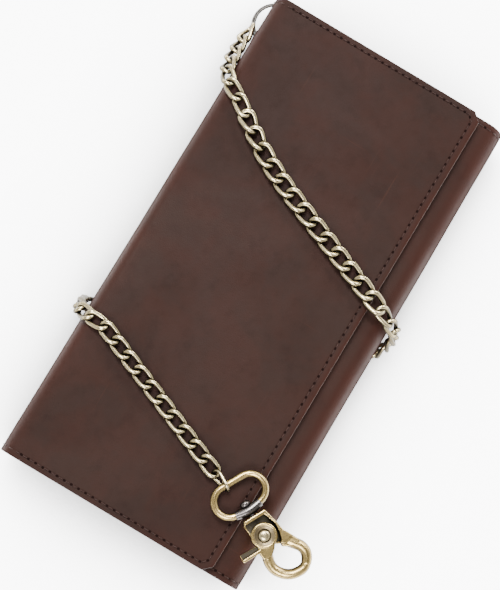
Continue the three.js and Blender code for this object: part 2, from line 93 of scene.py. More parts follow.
# ---------------------------------------------------------------- node helpers
class Mat:
    def __init__(self, name):
        self.m = bpy.data.materials.new(name)
        self.m.use_nodes = True
        self.t = self.m.node_tree
        self.t.nodes.clear()
        self.out = self.t.nodes.new("ShaderNodeOutputMaterial")
        self.b = self.t.nodes.new("ShaderNodeBsdfPrincipled")
        self.t.links.new(self.b.outputs[0], self.out.inputs[0])
        self.co = self.t.nodes.new("ShaderNodeTexCoord").outputs["Object"]

    def link(self, a, b):
        self.t.links.new(a, b)

    def put(self, socket, value):
        if hasattr(value, "is_output") or isinstance(value, bpy.types.NodeSocket):
            self.link(value, socket)
        else:
            socket.default_value = value

    def noise(self, scale, detail=4.0, rough=0.55, dist=0.0, co=None):
        n = self.t.nodes.new("ShaderNodeTexNoise")
        n.inputs["Scale"].default_value = scale
        n.inputs["Detail"].default_value = detail
        n.inputs["Roughness"].default_value = rough
        n.inputs["Distortion"].default_value = dist
        self.link(co or self.co, n.inputs["Vector"])
        return n.outputs["Fac"]

    def voronoi(self, scale, feature="DISTANCE_TO_EDGE", co=None, rnd=1.0):
        n = self.t.nodes.new("ShaderNodeTexVoronoi")
        n.feature = feature
        n.inputs["Scale"].default_value = scale
        n.inputs["Randomness"].default_value = rnd
        self.link(co or self.co, n.inputs["Vector"])
        return n.outputs["Distance"]

    def mapping(self, scale=(1, 1, 1), rot=(0, 0, 0), co=None):
        n = self.t.nodes.new("ShaderNodeMapping")
        n.inputs["Scale"].default_value = scale
        n.inputs["Rotation"].default_value = rot
        self.link(co or self.co, n.inputs["Vector"])
        return n.outputs[0]

    def math(self, op, a, b=0.0, c=0.0, clamp=False):
        n = self.t.nodes.new("ShaderNodeMath")
        n.operation = op
        n.use_clamp = clamp
        for s, v in zip(n.inputs, (a, b, c)):
            self.put(s, v)
        return n.outputs[0]

    def rng(self, v, a, b, c=0.0, d=1.0, smooth=True):
        n = self.t.nodes.new("ShaderNodeMapRange")
        n.interpolation_type = "SMOOTHSTEP" if smooth else "LINEAR"
        self.put(n.inputs["Value"], v)
        for k, x in (("From Min", a), ("From Max", b), ("To Min", c), ("To Max", d)):
            n.inputs[k].default_value = x
        return n.outputs["Result"]

    def mix(self, f, a, b, mode="MIX"):
        n = self.t.nodes.new("ShaderNodeMix")
        n.data_type = "RGBA"
        n.blend_type = mode
        self.put(n.inputs[0], f)
        for s, v in ((n.inputs[6], a), (n.inputs[7], b)):
            self.put(s, v if not isinstance(v, tuple) else (*v[:3], 1))
        return n.outputs[2]

    def ramp(self, f, stops):
        n = self.t.nodes.new("ShaderNodeValToRGB")
        e = n.color_ramp.elements
        while len(e) > 1:
            e.remove(e[-1])
        e[0].position, e[0].color = stops[0][0], (*stops[0][1], 1)
        for p, c in stops[1:]:
            k = e.new(p)
            k.color = (*c, 1)
        self.link(f, n.inputs[0])
        return n.outputs[0]

    def xyz(self):
        n = self.t.nodes.new("ShaderNodeSeparateXYZ")
        self.link(self.co, n.inputs[0])
        return n.outputs

    def bump(self, h, strength, distance, normal=None):
        n = self.t.nodes.new("ShaderNodeBump")
        n.inputs["Strength"].default_value = strength
        n.inputs["Distance"].default_value = distance
        self.link(h, n.inputs["Height"])
        if normal:
            self.link(normal, n.inputs["Normal"])
        return n.outputs[0]

    def set(self, **k):
        for key, v in k.items():
            self.put(self.b.inputs[key.replace("_", " ")], v)


def srgb(r, g, b):
    f = lambda c: (c / 255) / 12.92 if c / 255 <= 0.04045 else ((c / 255 + 0.055) / 1.055) ** 2.4
    return (f(r), f(g), f(b))


# ---------------------------------------------------------------- materials
def leather(name, groove=None, wear=None, dark=1.0, grain=1.0):
    """Waxed pull-up leather. groove: (x limit, y limit) of a stitched line in the row frame; wear: x positions of folds that are lighter and redder."""
    m = Mat(name)
    tone = lambda r, g, b: (0.272 * dark * srgb(r, g, b)[0], 0.184 * dark * srgb(r, g, b)[1], 0.138 * dark * srgb(r, g, b)[2])
    base = tone(84, 64, 58)
    cool = tone(80, 64, 62)
    red = tone(106, 62, 50)
    light = tone(132, 96, 80)
    deep = tone(60, 41, 35)
    big = m.rng(m.noise(14, 3, 0.6, 0.6), 0.36, 0.64)
    mid = m.rng(m.noise(60, 4, 0.6, 0.3), 0.34, 0.66)
    col = m.mix(big, base, cool)
    col = m.mix(m.math("MULTIPLY", mid, 0.30), col, red)
    col = m.mix(m.math("MULTIPLY", m.rng(m.noise(150, 5, 0.65), 0.5, 0.75), 0.30), col, deep)
    # faint pull-up scratches, long and thin, in two directions
    s1 = m.rng(m.noise(1, 3, 0.5, 0.2, m.mapping((900, 26, 200), (0, 0, 0.5))), 0.665, 0.74)
    s2 = m.rng(m.noise(1, 3, 0.5, 0.2, m.mapping((30, 1100, 200), (0, 0, 0.9))), 0.69, 0.77)
    patch = m.rng(m.noise(22, 2, 0.5), 0.46, 0.66)
    scr = m.math("MULTIPLY", m.math("MAXIMUM", s1, s2), patch, clamp=True)
    col = m.mix(m.math("MULTIPLY", scr, 0.22), col, light)
    x, y, z = m.xyz()
    if wear:
        for x0, w, amount in wear:
            g = m.rng(m.math("ABSOLUTE", m.math("SUBTRACT", x, (x0 + SH.x) / 1000)), 0.0, w / 1000, 1.0, 0.0)
            g = m.math("MULTIPLY", g, m.rng(m.noise(45, 4, 0.6, 0.4), 0.25, 0.75, 0.45, 1.0))
            col = m.mix(m.math("MULTIPLY", g, amount), col, red)
    # grain: pores, creases and fine noise
    v = m.voronoi(1500 / grain)
    v2 = m.voronoi(620 / grain)
    h = m.math("ADD", m.math("MULTIPLY", m.rng(v, 0.0, 0.35), 0.55), m.math("MULTIPLY", m.rng(v2, 0.0, 0.25), 0.45))
    h = m.math("ADD", h, m.math("MULTIPLY", m.noise(4200, 3, 0.6), 0.35))
    h = m.math("SUBTRACT", h, m.math("MULTIPLY", scr, 0.5))
    nrm = m.bump(h, 0.38, 0.00006)
    soft = m.noise(75, 3, 0.5)
    nrm = m.bump(soft, 0.30, 0.0007, nrm)
    if groove:
        gx, gy, gx2 = groove
        dx = m.math("SUBTRACT", m.math("SUBTRACT", x, (gx + SH.x) / 1000), m.math("MULTIPLY", m.math("SUBTRACT", y, SH.y / 1000), EDGE_SLOPE))
        dy = m.math("SUBTRACT", m.math("ABSOLUTE", m.math("SUBTRACT", y, SH.y / 1000)), gy / 1000)
        d = m.math("MAXIMUM", dx, dy) if gx2 is None else dy
        line = m.math("ABSOLUTE", d)
        gr = m.rng(line, 0.0, 0.0008, 1.0, 0.0)
        nrm = m.bump(m.math("MULTIPLY", gr, -1.0), 0.4, 0.00014, nrm)
        col = m.mix(m.math("MULTIPLY", gr, 0.10), col, deep)
        rim = m.rng(d, 0.0006, 0.0026)
        col = m.mix(m.math("MULTIPLY", m.math("MULTIPLY", rim, 0.4), m.rng(m.noise(120, 3), 0.3, 0.7, 0.2, 1.0)), col, red)
    rough = m.rng(m.math("ADD", m.math("MULTIPLY", big, 0.5), m.math("MULTIPLY", m.noise(300, 4, 0.6), 0.5)), 0.2, 0.8, 0.56, 0.72, smooth=False)
    # the waxed, matt surface has little reflection left at a grazing angle; the colour is darkened there as well, a
    # painted shade that makes its folds go dark
    lw = m.t.nodes.new("ShaderNodeLayerWeight")
    lw.inputs["Blend"].default_value = 0.5
    face = lw.outputs["Facing"]
    col = m.mix(m.rng(face, 0.45, 0.92, 0.0, 0.55), col, tuple(0.35 * v for v in deep))
    m.set(Base_Color=col, Roughness=rough, Normal=nrm, Specular_IOR_Level=m.rng(face, 0.30, 0.80, 0.17, 0.0), Sheen_Weight=0.004, Sheen_Roughness=0.5)
    return m.m


def leather_edge(name, tone=(70, 50, 42)):
    m = Mat(name)
    c = tuple(0.4 * v for v in srgb(*tone))
    layers = m.noise(1, 4, 0.6, 0.0, m.mapping((260, 260, 2400)))
    col = m.mix(m.rng(layers, 0.3, 0.7), tuple(v * 0.72 for v in c), tuple(v * 1.25 for v in c))
    n = m.bump(m.math("ADD", layers, m.math("MULTIPLY", m.noise(2200, 4, 0.7), 0.6)), 0.6, 0.0001)
    m.set(Base_Color=col, Roughness=0.62, Normal=n, Specular_IOR_Level=0.35)
    return m.m


def suede(name, tone, scale=1.0):
    m = Mat(name)
    c = tuple(k * v for k, v in zip((0.40, 0.33, 0.28), srgb(*tone)))
    f = m.noise(2600 * scale, 5, 0.75, 0.4)
    g = m.noise(120, 4, 0.6)
    col = m.mix(m.rng(f, 0.3, 0.7), tuple(v * 0.72 for v in c), tuple(v * 1.2 for v in c))
    col = m.mix(m.math("MULTIPLY", m.rng(g, 0.3, 0.7), 0.3), col, tuple(v * 0.6 for v in c))
    m.set(Base_Color=col, Roughness=0.88, Normal=m.bump(f, 0.7, 0.00012), Specular_IOR_Level=0.25, Sheen_Weight=0.25, Sheen_Roughness=0.6)
    return m.m


def thread(name, tone=(44, 30, 26), spec=0.3):
    m = Mat(name)
    c = tuple(0.45 * v for v in srgb(*tone))
    f = m.noise(3800, 3, 0.6, 0.0, m.mapping((1, 1, 1), (0.4, 0.3, 0.7)))
    col = m.mix(m.rng(f, 0.3, 0.7), tuple(v * 0.6 for v in c), tuple(v * 1.7 for v in c))
    m.set(Base_Color=col, Roughness=0.7, Normal=m.bump(f, 0.8, 0.00008), Specular_IOR_Level=spec)
    return m.m


def metal(name, bright, dark, rough=0.3, depth=0.9, ao_mm=1.6, polish=0.5, side=0.75, lo=0.45, hi=0.95):
    """Antique plated metal: rubbed bright on the crowns, dark in the recesses; the broad faces also carry a painted
    highlight and the flanks a painted shade.
    """
    m = Mat(name)
    geo = m.t.nodes.new("ShaderNodeNewGeometry")
    point = geo.outputs["Pointiness"]
    ao = m.t.nodes.new("ShaderNodeAmbientOcclusion")
    ao.samples = 12
    ao.inputs["Distance"].default_value = ao_mm / 1000
    a = m.rng(ao.outputs["AO"], 0.22, 0.80)
    p = m.rng(point, 0.47, 0.53)
    patches = m.rng(m.noise(420, 5, 0.65, 0.5), 0.32, 0.66)
    fine = m.noise(2600, 4, 0.6)
    wear_and_painted_light = m.math("MULTIPLY", a, m.rng(p, 0.0, 1.0, 1.0 - polish, 1.0))
    # the broad outer face is rubbed bright in use and the flanks keep their dark finish; this contrast by the
    # object-space normal is also a painted highlight on the broad faces and a painted shade on the flanks
    tc = m.t.nodes.new("ShaderNodeTexCoord")
    nz = m.t.nodes.new("ShaderNodeSeparateXYZ")
    m.link(tc.outputs["Normal"], nz.inputs[0])
    wear_and_painted_light = m.math("MULTIPLY", wear_and_painted_light, m.rng(m.math("ABSOLUTE", nz.outputs["Z"]), lo, hi, 1.0 - side, 1.0))
    wear_and_painted_light = m.math("MULTIPLY", wear_and_painted_light, m.rng(patches, 0.0, 1.0, 0.62, 1.0))
    mid = tuple((b * 0.55 + d * 0.45) for b, d in zip(bright, dark))
    col = m.ramp(m.math("ADD", wear_and_painted_light, m.math("MULTIPLY", m.math("SUBTRACT", fine, 0.5), 0.10), clamp=True), [(0.0, dark), (0.42, mid), (0.85, bright)])
    scr = m.rng(m.noise(1, 3, 0.5, 0.3, m.mapping((5200, 260, 900), (0.2, 0.4, 0.7))), 0.62, 0.72)
    r = m.rng(wear_and_painted_light, 0.0, 1.0, rough + 0.22, rough, smooth=False)
    r = m.math("ADD", r, m.math("MULTIPLY", scr, 0.10))
    n = m.bump(m.math("ADD", m.math("MULTIPLY", m.noise(900, 4, 0.6), 0.6), m.math("MULTIPLY", scr, -0.3)), 0.22, 0.00006)
    m.set(Base_Color=col, Metallic=1.0, Roughness=r, Normal=n)
    return m.m


GROOVE_FLAP = (EDGE + EDGE_ON - 2.7, 92.8, None)
GROOVE_STRIP = (0, 92.8, 1)
M = {
    "flap": leather("leather_flap", GROOVE_FLAP, [(-46.0, 7.0, 0.4), (EDGE + EDGE_ON, 3.4, 0.4)]),
    "cover": leather("leather_cover", GROOVE_STRIP, [(-46.0, 7.0, 0.4), (45, 9.0, 0.62)]),
    "panel": leather("leather_panel", None, None, 0.95, 0.8),
    "edge": leather_edge("leather_cut_edge", (58, 42, 36)),
    # flap's free edge: light raw cut leather, which also serves as a painted highlight along that edge
    "raw_edge_and_highlight": leather_edge("leather_raw_edge_and_highlight", (112, 90, 78)),
    "dark_edge": leather_edge("leather_dark_edge", (44, 31, 27)),
    "lining": suede("lining_suede", (92, 68, 56)),
    "gusset": leather("leather_gusset", None, None, 0.8, 0.7),
    "thread": thread("waxed_thread", (74, 46, 38)),
    # stitch holes: a near-black disc at each hole, painted shade for the hole's depth
    "hole": thread("stitch_hole_painted_shade", (34, 17, 14), 0.05),
    "brass": metal("antique_brass", (0.95, 0.79, 0.45), (0.014, 0.010, 0.006), 0.2, ao_mm=2.6, polish=0.7, side=0.95, lo=0.58, hi=0.99),
    "brass_clip": metal("antique_brass_cast", (0.82, 0.59, 0.23), (0.014, 0.010, 0.004), 0.2, ao_mm=3.0, polish=0.5, side=0.88, lo=0.5, hi=0.98),
    "steel": metal("dark_plated_steel", (0.20, 0.18, 0.17), (0.010, 0.009, 0.009), 0.24),
    "black": metal("blackened_brass", (0.10, 0.085, 0.06), (0.006, 0.005, 0.004), 0.34, ao_mm=2.0),
    "bronze": metal("dark_bronze", (0.30, 0.23, 0.13), (0.010, 0.008, 0.005), 0.3, ao_mm=1.4),
    "ring": metal("ring_plating", (0.085, 0.078, 0.07), (0.008, 0.007, 0.007), 0.26, ao_mm=0.8),
    "zip": metal("zip_brass", (0.62, 0.47, 0.22), (0.06, 0.04, 0.02), 0.3, ao_mm=0.8),
    "snap": metal("snap_plating", (0.52, 0.46, 0.34), (0.05, 0.04, 0.03), 0.3, ao_mm=1.0),
}


def tape_material():
    m = Mat("zip_tape_weave")
    x, y, z = m.xyz()
    wa = m.math("SINE", m.math("MULTIPLY", y, 2 * math.pi * 1400))
    wb = m.math("SINE", m.math("MULTIPLY", m.math("ADD", x, z), 2 * math.pi * 1100))
    w = m.math("MULTIPLY", wa, wb)
    c = srgb(46, 36, 31)
    col = m.mix(m.rng(w, -1, 1), tuple(v * 0.6 for v in c), tuple(v * 1.3 for v in c))
    m.set(Base_Color=col, Roughness=0.85, Normal=m.bump(w, 0.6, 0.0001), Sheen_Weight=0.2)
    return m.m


def window_material():
    m = Mat("clear_window")
    f = m.noise(35, 3, 0.5, 0.6)
    sc = m.rng(m.noise(1, 3, 0.5, 0.2, m.mapping((900, 30, 100), (0, 0, 0.3))), 0.6, 0.75)
    m.set(Base_Color=(0.93, 0.94, 0.93, 1), Roughness=m.rng(sc, 0, 1, 0.08, 0.3), Normal=m.bump(f, 0.5, 0.0006), Transmission_Weight=0.85, IOR=1.45, Alpha=0.45)
    return m.m


M["tape"] = tape_material()
M["window"] = window_material()


# ---------------------------------------------------------------- mesh helpers
def to_object(name, verts, faces, mats, face_mats=None, smooth=True):
    me = bpy.data.meshes.new(name)
    me.from_pydata([tuple(v) for v in verts], [], faces)
    for mt in (mats if isinstance(mats, (list, tuple)) else [mats]):
        me.materials.append(mt)
    if face_mats is not None:
        me.polygons.foreach_set("material_index", face_mats)
    me.polygons.foreach_set("use_smooth", [smooth] * len(me.polygons))
    me.update()
    ob = bpy.data.objects.new(name, me)
    bpy.context.scene.collection.objects.link(ob)
    return ob


def fix_normals(ob):
    bm = bmesh.new()
    bm.from_mesh(ob.data)
    bmesh.ops.remove_doubles(bm, verts=bm.verts, dist=1e-7)
    bmesh.ops.recalc_face_normals(bm, faces=bm.faces)
    bm.to_mesh(ob.data)
    bm.free()
    ob.data.update()
    return ob


def apply_mods(ob):
    dg = bpy.context.evaluated_depsgraph_get()
    me = bpy.data.meshes.new_from_object(ob.evaluated_get(dg))
    ob.modifiers.clear()
    old = ob.data
    ob.data = me
    me.name = ob.name
    if old.users == 0:
        bpy.data.meshes.remove(old)
    return ob


def bevel(ob, width_mm, segments=2, angle=35):
    b = ob.modifiers.new("b", "BEVEL")
    b.width = width_mm / 1000
    b.segments = segments
    b.limit_method = "ANGLE"
    b.angle_limit = math.radians(angle)
    b.harden_normals = False
    return apply_mods(ob)


def bevel_but_seam(ob, width_mm, z_mm, segments=2, angle=50):
    """Rounds every sharp edge but those of the seam at the height z_mm on the spine, where two sheets run on as one."""
    bm = bmesh.new()
    bm.from_mesh(ob.data)
    layer = bm.edges.layers.float.get("bevel_weight_edge") or bm.edges.layers.float.new("bevel_weight_edge")
    z, x = (z_mm + SH.z) / 1000, (-HALF_W + 3 + SH.x) / 1000
    for e in bm.edges:
        at_seam = all(abs(v.co.z - z) < 1e-5 and v.co.x < x for v in e.verts)
        e[layer] = 1.0 if len(e.link_faces) == 2 and e.calc_face_angle(0) > math.radians(angle) and not at_seam else 0.0
    bm.to_mesh(ob.data)
    bm.free()
    b = ob.modifiers.new("b", "BEVEL")
    b.width = width_mm / 1000
    b.segments = segments
    b.limit_method = "WEIGHT"
    apply_mods(ob)
    return sharp(ob, 60)


def sharp(ob, angle=40):
    me = ob.data
    me.polygons.foreach_set("use_smooth", [True] * len(me.polygons))
    bm = bmesh.new()
    bm.from_mesh(me)
    for e in bm.edges:
        if len(e.link_faces) == 2:
            e.smooth = e.calc_face_angle(0) < math.radians(angle)
    bm.to_mesh(me)
    bm.free()
    return ob


def grid_solid(name, top, bottom, mats, rim_mats=None):
    """A closed sheet from two equal grids of points, top[i][j] and bottom[i][j]; the rim faces take rim_mats = (i low, i high, j low, j high)."""
    ni, nj = len(top), len(top[0])
    verts = [p for row in top for p in row] + [p for row in bottom for p in row]
    o = ni * nj
    faces, fm = [], []
    rim = rim_mats or (0, 0, 0, 0)
    for i in range(ni - 1):
        for j in range(nj - 1):
            a, b, c, d = i * nj + j, (i + 1) * nj + j, (i + 1) * nj + j + 1, i * nj + j + 1
            faces.append((a, b, c, d)); fm.append(0)
            faces.append((o + a, o + d, o + c, o + b)); fm.append(1 if len(mats) > 1 else 0)
    for j in range(nj - 1):
        faces.append((j, j + 1, o + j + 1, o + j)); fm.append(rim[0])
        k = (ni - 1) * nj
        faces.append((k + j + 1, k + j, o + k + j, o + k + j + 1)); fm.append(rim[1])
    for i in range(ni - 1):
        faces.append(((i + 1) * nj, i * nj, o + i * nj, o + (i + 1) * nj)); fm.append(rim[2])
        a, b = i * nj + nj - 1, (i + 1) * nj + nj - 1
        faces.append((a, b, o + b, o + a)); fm.append(rim[3])
    return fix_normals(to_object(name, verts, faces, mats, fm))


def wob(x, y, z, scale=28.0, seed=0.0):
    return noise.noise(Vector((x / scale + seed, y / scale - seed, z / scale)))


def arc(cx_, cz_, r, a0, a1, n):
    return [(cx_ + r * math.cos(math.radians(a0 + (a1 - a0) * i / n)), cz_ + r * math.sin(math.radians(a0 + (a1 - a0) * i / n))) for i in range(n + 1)]


def densify(path, step):
    out = [path[0]]
    for a, b in zip(path, path[1:]):
        n = max(1, int(math.hypot(b[0] - a[0], b[1] - a[1]) / step + 0.5))
        out += [(a[0] + (b[0] - a[0]) * i / n, a[1] + (b[1] - a[1]) * i / n) for i in range(1, n + 1)]
    return out


def offset_path(path, t):
    """The path moved by t to its left."""
    out = []
    for i, p in enumerate(path):
        a, b = path[max(i - 1, 0)], path[min(i + 1, len(path) - 1)]
        dx, dz = b[0] - a[0], b[1] - a[1]
        l = math.hypot(dx, dz) or 1
        out.append((p[0] - dz / l * t, p[1] + dx / l * t))
    return out


def slab(name, outline, z0, z1, mats, bev=0.25, holes=(), edge_mat=None, seg=2):
    """A plan outline raised from z0 to z1 with rounded edges. holes are outlines too."""
    bm = bmesh.new()
    loops = [outline] + list(holes)
    edges = []
    for lp in loops:
        vs = [bm.verts.new(W(x, y, z0)) for x, y in lp]
        edges += [bm.edges.new((vs[i], vs[(i + 1) % len(vs)])) for i in range(len(vs))]
    bmesh.ops.triangle_fill(bm, use_beauty=True, use_dissolve=False, edges=edges)
    bmesh.ops.dissolve_limit(bm, angle_limit=0.01, verts=bm.verts, edges=bm.edges, delimit={"NORMAL"}) if not holes else None
    r = bmesh.ops.extrude_face_region(bm, geom=list(bm.faces))
    for v in r["geom"]:
        if isinstance(v, bmesh.types.BMVert):
            v.co.z += (z1 - z0) / 1000
    bmesh.ops.recalc_face_normals(bm, faces=bm.faces)
    me = bpy.data.meshes.new(name)
    bm.to_mesh(me)
    bm.free()
    for mt in mats:
        me.materials.append(mt)
    ob = bpy.data.objects.new(name, me)
    bpy.context.scene.collection.objects.link(ob)
    if bev:
        bevel(ob, bev, seg)
    if len(mats) > 1:
        for p in ob.data.polygons:
            p.material_index = 1 if abs(p.normal.z) < 0.8 else 0
    sharp(ob, 50)
    for p in ob.data.polygons:
        if abs(p.normal.z) > 0.999 or abs(p.normal.z) < 0.001:
            p.use_smooth = False
    return ob


def rect(x0, x1, y0, y1, r=0.0, n=4):
    if not r:
        return [(x0, y0), (x1, y0), (x1, y1), (x0, y1)]
    out = []
    for cx_, cy_, a in ((x1 - r, y0 + r, -90), (x1 - r, y1 - r, 0), (x0 + r, y1 - r, 90), (x0 + r, y0 + r, 180)):
        out += [(cx_ + r * math.cos(math.radians(a + 90 * i / n)), cy_ + r * math.sin(math.radians(a + 90 * i / n))) for i in range(n + 1)]
    return out


def tube(points, radii, sides=14, closed=False, up=Vector((0, 0, 1)), flat=1.0):
    """Rings of wire along points in mm; returns verts and faces. flat scales the section along the local up."""
    P = [Vector(p) for p in points]
    n = len(P)
    R = radii if isinstance(radii, (list, tuple)) else [radii] * n
    verts, faces = [], []
    for i in range(n):
        a = P[(i - 1) % n] if closed or i > 0 else P[i]
        b = P[(i + 1) % n] if closed or i < n - 1 else P[i]
        t = (b - a).normalized()
        nn = (up - t * up.dot(t))
        nn = nn.normalized() if nn.length > 1e-4 else t.orthogonal().normalized()
        s = t.cross(nn)
        for j in range(sides):
            w = 2 * math.pi * j / sides
            verts.append(P[i] + nn * (math.cos(w) * R[i] * flat) + s * (math.sin(w) * R[i]))
    m = n if closed else n - 1
    for i in range(m):
        for j in range(sides):
            a, b = i * sides + j, i * sides + (j + 1) % sides
            c, d = ((i + 1) % n) * sides + (j + 1) % sides, ((i + 1) % n) * sides + j
            faces.append((a, b, c, d))
    if not closed:
        faces.append(tuple(range(sides))[::-1])
        faces.append(tuple((n - 1) * sides + j for j in range(sides)))
    return verts, faces


def merge(*parts):
    V, F = [], []
    for v, f in parts:
        o = len(V)
        V += list(v)
        F += [tuple(i + o for i in q) for q in f]
    return V, F


# ---------------------------------------------------------------- outer cover
def build_cover():
    o = HALF_W
    path = [(-o, SEAM_Z), (-o, 11.0)] + arc(-o + R_SPINE, R_SPINE, R_SPINE, 180, 270, 10) + arc(o - R_RIGHT, R_RIGHT, R_RIGHT, 270, 360, 12) \
        + arc(o - R_RIGHT, FRONT_TOP - R_RIGHT, R_RIGHT, 0, 90, 12) + [(MOUTH, FRONT_TOP)]
    path = densify(path, 2.2)
    inner = offset_path(path, LEATHER)
    ys = [-HALF_L + 2 * HALF_L * i / 92 for i in range(93)]
    top, bot = [], []
    for (x, z), (xi, zi) in zip(path, inner):
        row, low = [], []
        for y in ys:
            nx, nz = (x - xi) / LEATHER, (z - zi) / LEATHER
            seam = min(1.0, max(0.0, (abs(z - SEAM_Z) / 5.0))) if x < -47.9 else 1.0
            d = 0.16 * wob(x, y, z) * seam
            # the pouch's side edges are drawn in a little between the layers
            e = max(0.0, (abs(y) - 88) / 7) ** 2
            d -= 0.10 * e * seam
            row.append(W(x + nx * d, y, z + nz * d))
            low.append(W(xi + nx * d, y, zi + nz * d))
        top.append(row); bot.append(low)
    ob = grid_solid("cover_leather", top, bot, [M["cover"], M["lining"], M["dark_edge"], M["edge"]], (0, 3, 2, 2))
    bevel_but_seam(ob, 0.32, SEAM_Z)
    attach(ob, "wallet")
    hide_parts("outer_cover")


def flap_limit(x):
    return HALF_L - max(0.0, x - (EDGE - 3.0))


def flap_height(x, y):
    """How far the flap's top surface stands above its nominal height, in mm."""
    return 0.14 * wob(x, y, 3.0, 34.0, 2.0) + 0.05 * wob(x, y, 9.0, 11.0, 5.0)


def build_flap():
    o = HALF_W
    path = [(-o, SEAM_Z)] + arc(-o + R_SPINE, FLAP_TOP - R_SPINE, R_SPINE, 180, 90, 12) + [(EDGE - 6, FLAP_TOP), (EDGE - 3, FLAP_TOP), (EDGE, FLAP_TOP)]
    path = densify(path, 1.9)
    inner = offset_path(path, -LEATHER)
    n = 96
    top, bot = [], []
    for k, ((x, z), (xi, zi)) in enumerate(zip(path, inner)):
        row, low = [], []
        lim = flap_limit(x) if x > 0 else HALF_L
        nx, nz = (x - xi) / LEATHER, (z - zi) / LEATHER
        seam = min(1.0, max(0.0, (z - SEAM_Z) / 6.0))
        for j in range(n + 1):
            y = (-1 + 2 * j / n) * lim
            d = flap_height(x, y) * seam
            far = edge_x(y) / EDGE if x > 0 else 1.0
            row.append(W(x * far + nx * d, y, z + nz * d))
            low.append(W(xi * far + nx * d, y, zi + nz * d))
        top.append(row); bot.append(low)
    # the free edge takes the light raw-edge leather: raw cut leather and a painted highlight in one
    ob = grid_solid("flap_leather", top, bot, [M["flap"], M["lining"], M["dark_edge"], M["raw_edge_and_highlight"]], (0, 3, 2, 2))
    bevel_but_seam(ob, 0.34, SEAM_Z)
    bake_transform(ob)
    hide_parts("flap_outer", "flap_fold")


# ---------------------------------------------------------------- stitches
def stitch_line(points, normals, pitch=2.85, r=0.22, gap=0.85):
    """Threads and their holes along a polyline of points in mm, each with its surface normal. Returns (thread, holes) as verts and faces."""
    P = [Vector(p) for p in points]
    Nn = [Vector(p).normalized() for p in normals]
    seg = [0.0]
    for a, b in zip(P, P[1:]):
        seg.append(seg[-1] + (b - a).length)

    def at(s):
        s = min(max(s, 0), seg[-1])
        for i in range(len(seg) - 1):
            if s <= seg[i + 1] + 1e-9:
                f = (s - seg[i]) / max(seg[i + 1] - seg[i], 1e-9)
                return P[i].lerp(P[i + 1], f), Nn[i].lerp(Nn[i + 1], f).normalized()
        return P[-1], Nn[-1]

    count = int(seg[-1] / pitch)
    step = seg[-1] / max(count, 1)
    threads, holes = [], []
    for k in range(count):
        s0, s1 = k * step + gap / 2, (k + 1) * step - gap / 2
        pts, rad = [], []
        for i in range(7):
            f = i / 6
            p, nrm = at(s0 + (s1 - s0) * f)
            rise = 0.16 * math.sin(math.pi * f) - 0.30 * (abs(2 * f - 1) ** 4)
            pts.append(p + nrm * rise)
            rad.append(r * (0.75 + 0.25 * math.sin(math.pi * f)))
        threads.append(tube(pts, rad, 6, False, at((s0 + s1) / 2)[1]))
    for k in range(count + 1):
        p, nrm = at(k * step)
        q, _ = at(min(k * step + 0.3, seg[-1]))
        t = (q - p)
        if t.length < 1e-6:
            t = p - at(max(k * step - 0.3, 0))[0]
        t.normalize()
        s = t.cross(nrm)
        V, F = [], []
        m = 10
        for ring, (rr, hh) in enumerate(((0.53, 0.014), (0.37, -0.02))):
            for i in range(m):
                w = 2 * math.pi * i / m
                V.append(p + t * (math.cos(w) * rr * 1.05) + s * (math.sin(w) * rr * 0.85) + nrm * hh)
        V += [p + nrm * 0.0, p - nrm * 0.25]
        for i in range(m):
            j = (i + 1) % m
            F += [(i, j, m + j, m + i), (m + i, m + j, 2 * m), (j, i, 2 * m + 1)]
        holes.append((V, F))
    return merge(*threads), merge(*holes)


def add_stitches(name, lines, body=None, blended=False):
    T, H = zip(*[stitch_line(*l) for l in lines])
    # the hole discs take a near-black material, painted shade in the holes
    for tag, parts, mt in (("thread", T, M["thread"]), ("holes", H, M["hole"])):
        V, F = merge(*parts)
        ob = fix_normals(to_object(f"{name}_{tag}", [W(*v) for v in V], F, mt))
        if blended:
            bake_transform(ob)
        else:
            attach(ob, body)


def build_stitches():
    l = HALF_L - 2.2
    z = FLAP_TOP + 0.02
    c = 1.9
    up = (0, 0, 1)
    side = [(-48.0, 19.6)] + arc(-43, FLAP_TOP - 5, 5, 172, 90, 8)

    def top_point(x, y):
        return (x, y, z + flap_height(x * EDGE / edge_x(y) if x > 0 else x, y))

    def fold_part(y):
        pts = [(px, y, pz) for px, pz in side]
        nr = [(px + 43, 0, pz - (FLAP_TOP - 5)) if px < -43 else up for px, pz in side]
        nr[0] = (-1, 0, 0)
        return pts, nr

    pa, na = fold_part(l)
    pb, nb = fold_part(-l)
    e1, e2 = edge_x(l) - 2.7, edge_x(-l) - 2.7
    xs = [-43 + (e1 - c + 43) * i / 40 for i in range(41)]
    xt = [-43 + (e2 - c + 43) * i / 40 for i in range(41)]
    path = pa + [top_point(x, l) for x in xs[1:]] + [top_point(e1, l - c)]
    ys = [l - c - 2 * (l - c) * i / 90 for i in range(1, 91)]
    path += [top_point(edge_x(y) - 2.7, y) for y in ys]
    path += [top_point(x, -l) for x in reversed(xt[1:])] + list(reversed(pb))
    nr = na + [up] * (len(path) - len(na) - len(nb)) + list(reversed(nb))
    add_stitches("flap_stitches", [(path, nr)], blended=True)
    # the strip that the flap leaves free, along its two side edges, and round the right fold
    lines = []
    sec = [(36.5, FRONT_TOP), (41.0, FRONT_TOP)] + arc(HALF_W - R_RIGHT, FRONT_TOP - R_RIGHT, R_RIGHT, 84, 20, 6)
    front = [(MOUTH + 3, FRONT_TOP), (36.0, FRONT_TOP)]
    for s in (1, -1):
        y = s * (HALF_L - 2.2)
        pts = [(px, y, pz + 0.02) for px, pz in front + sec]
        nrm = [(0, 0, 1)] * (len(front) + 2) + [(px - (HALF_W - R_RIGHT), 0, pz - (FRONT_TOP - R_RIGHT)) for px, pz in sec[2:]]
        lines.append((pts, nrm))
        back = [(-41.0, y, -0.02), (40.0, y, -0.02)]
        lines.append((back, [(0, 0, -1)] * 2))
    add_stitches("cover_stitches", lines, "wallet")


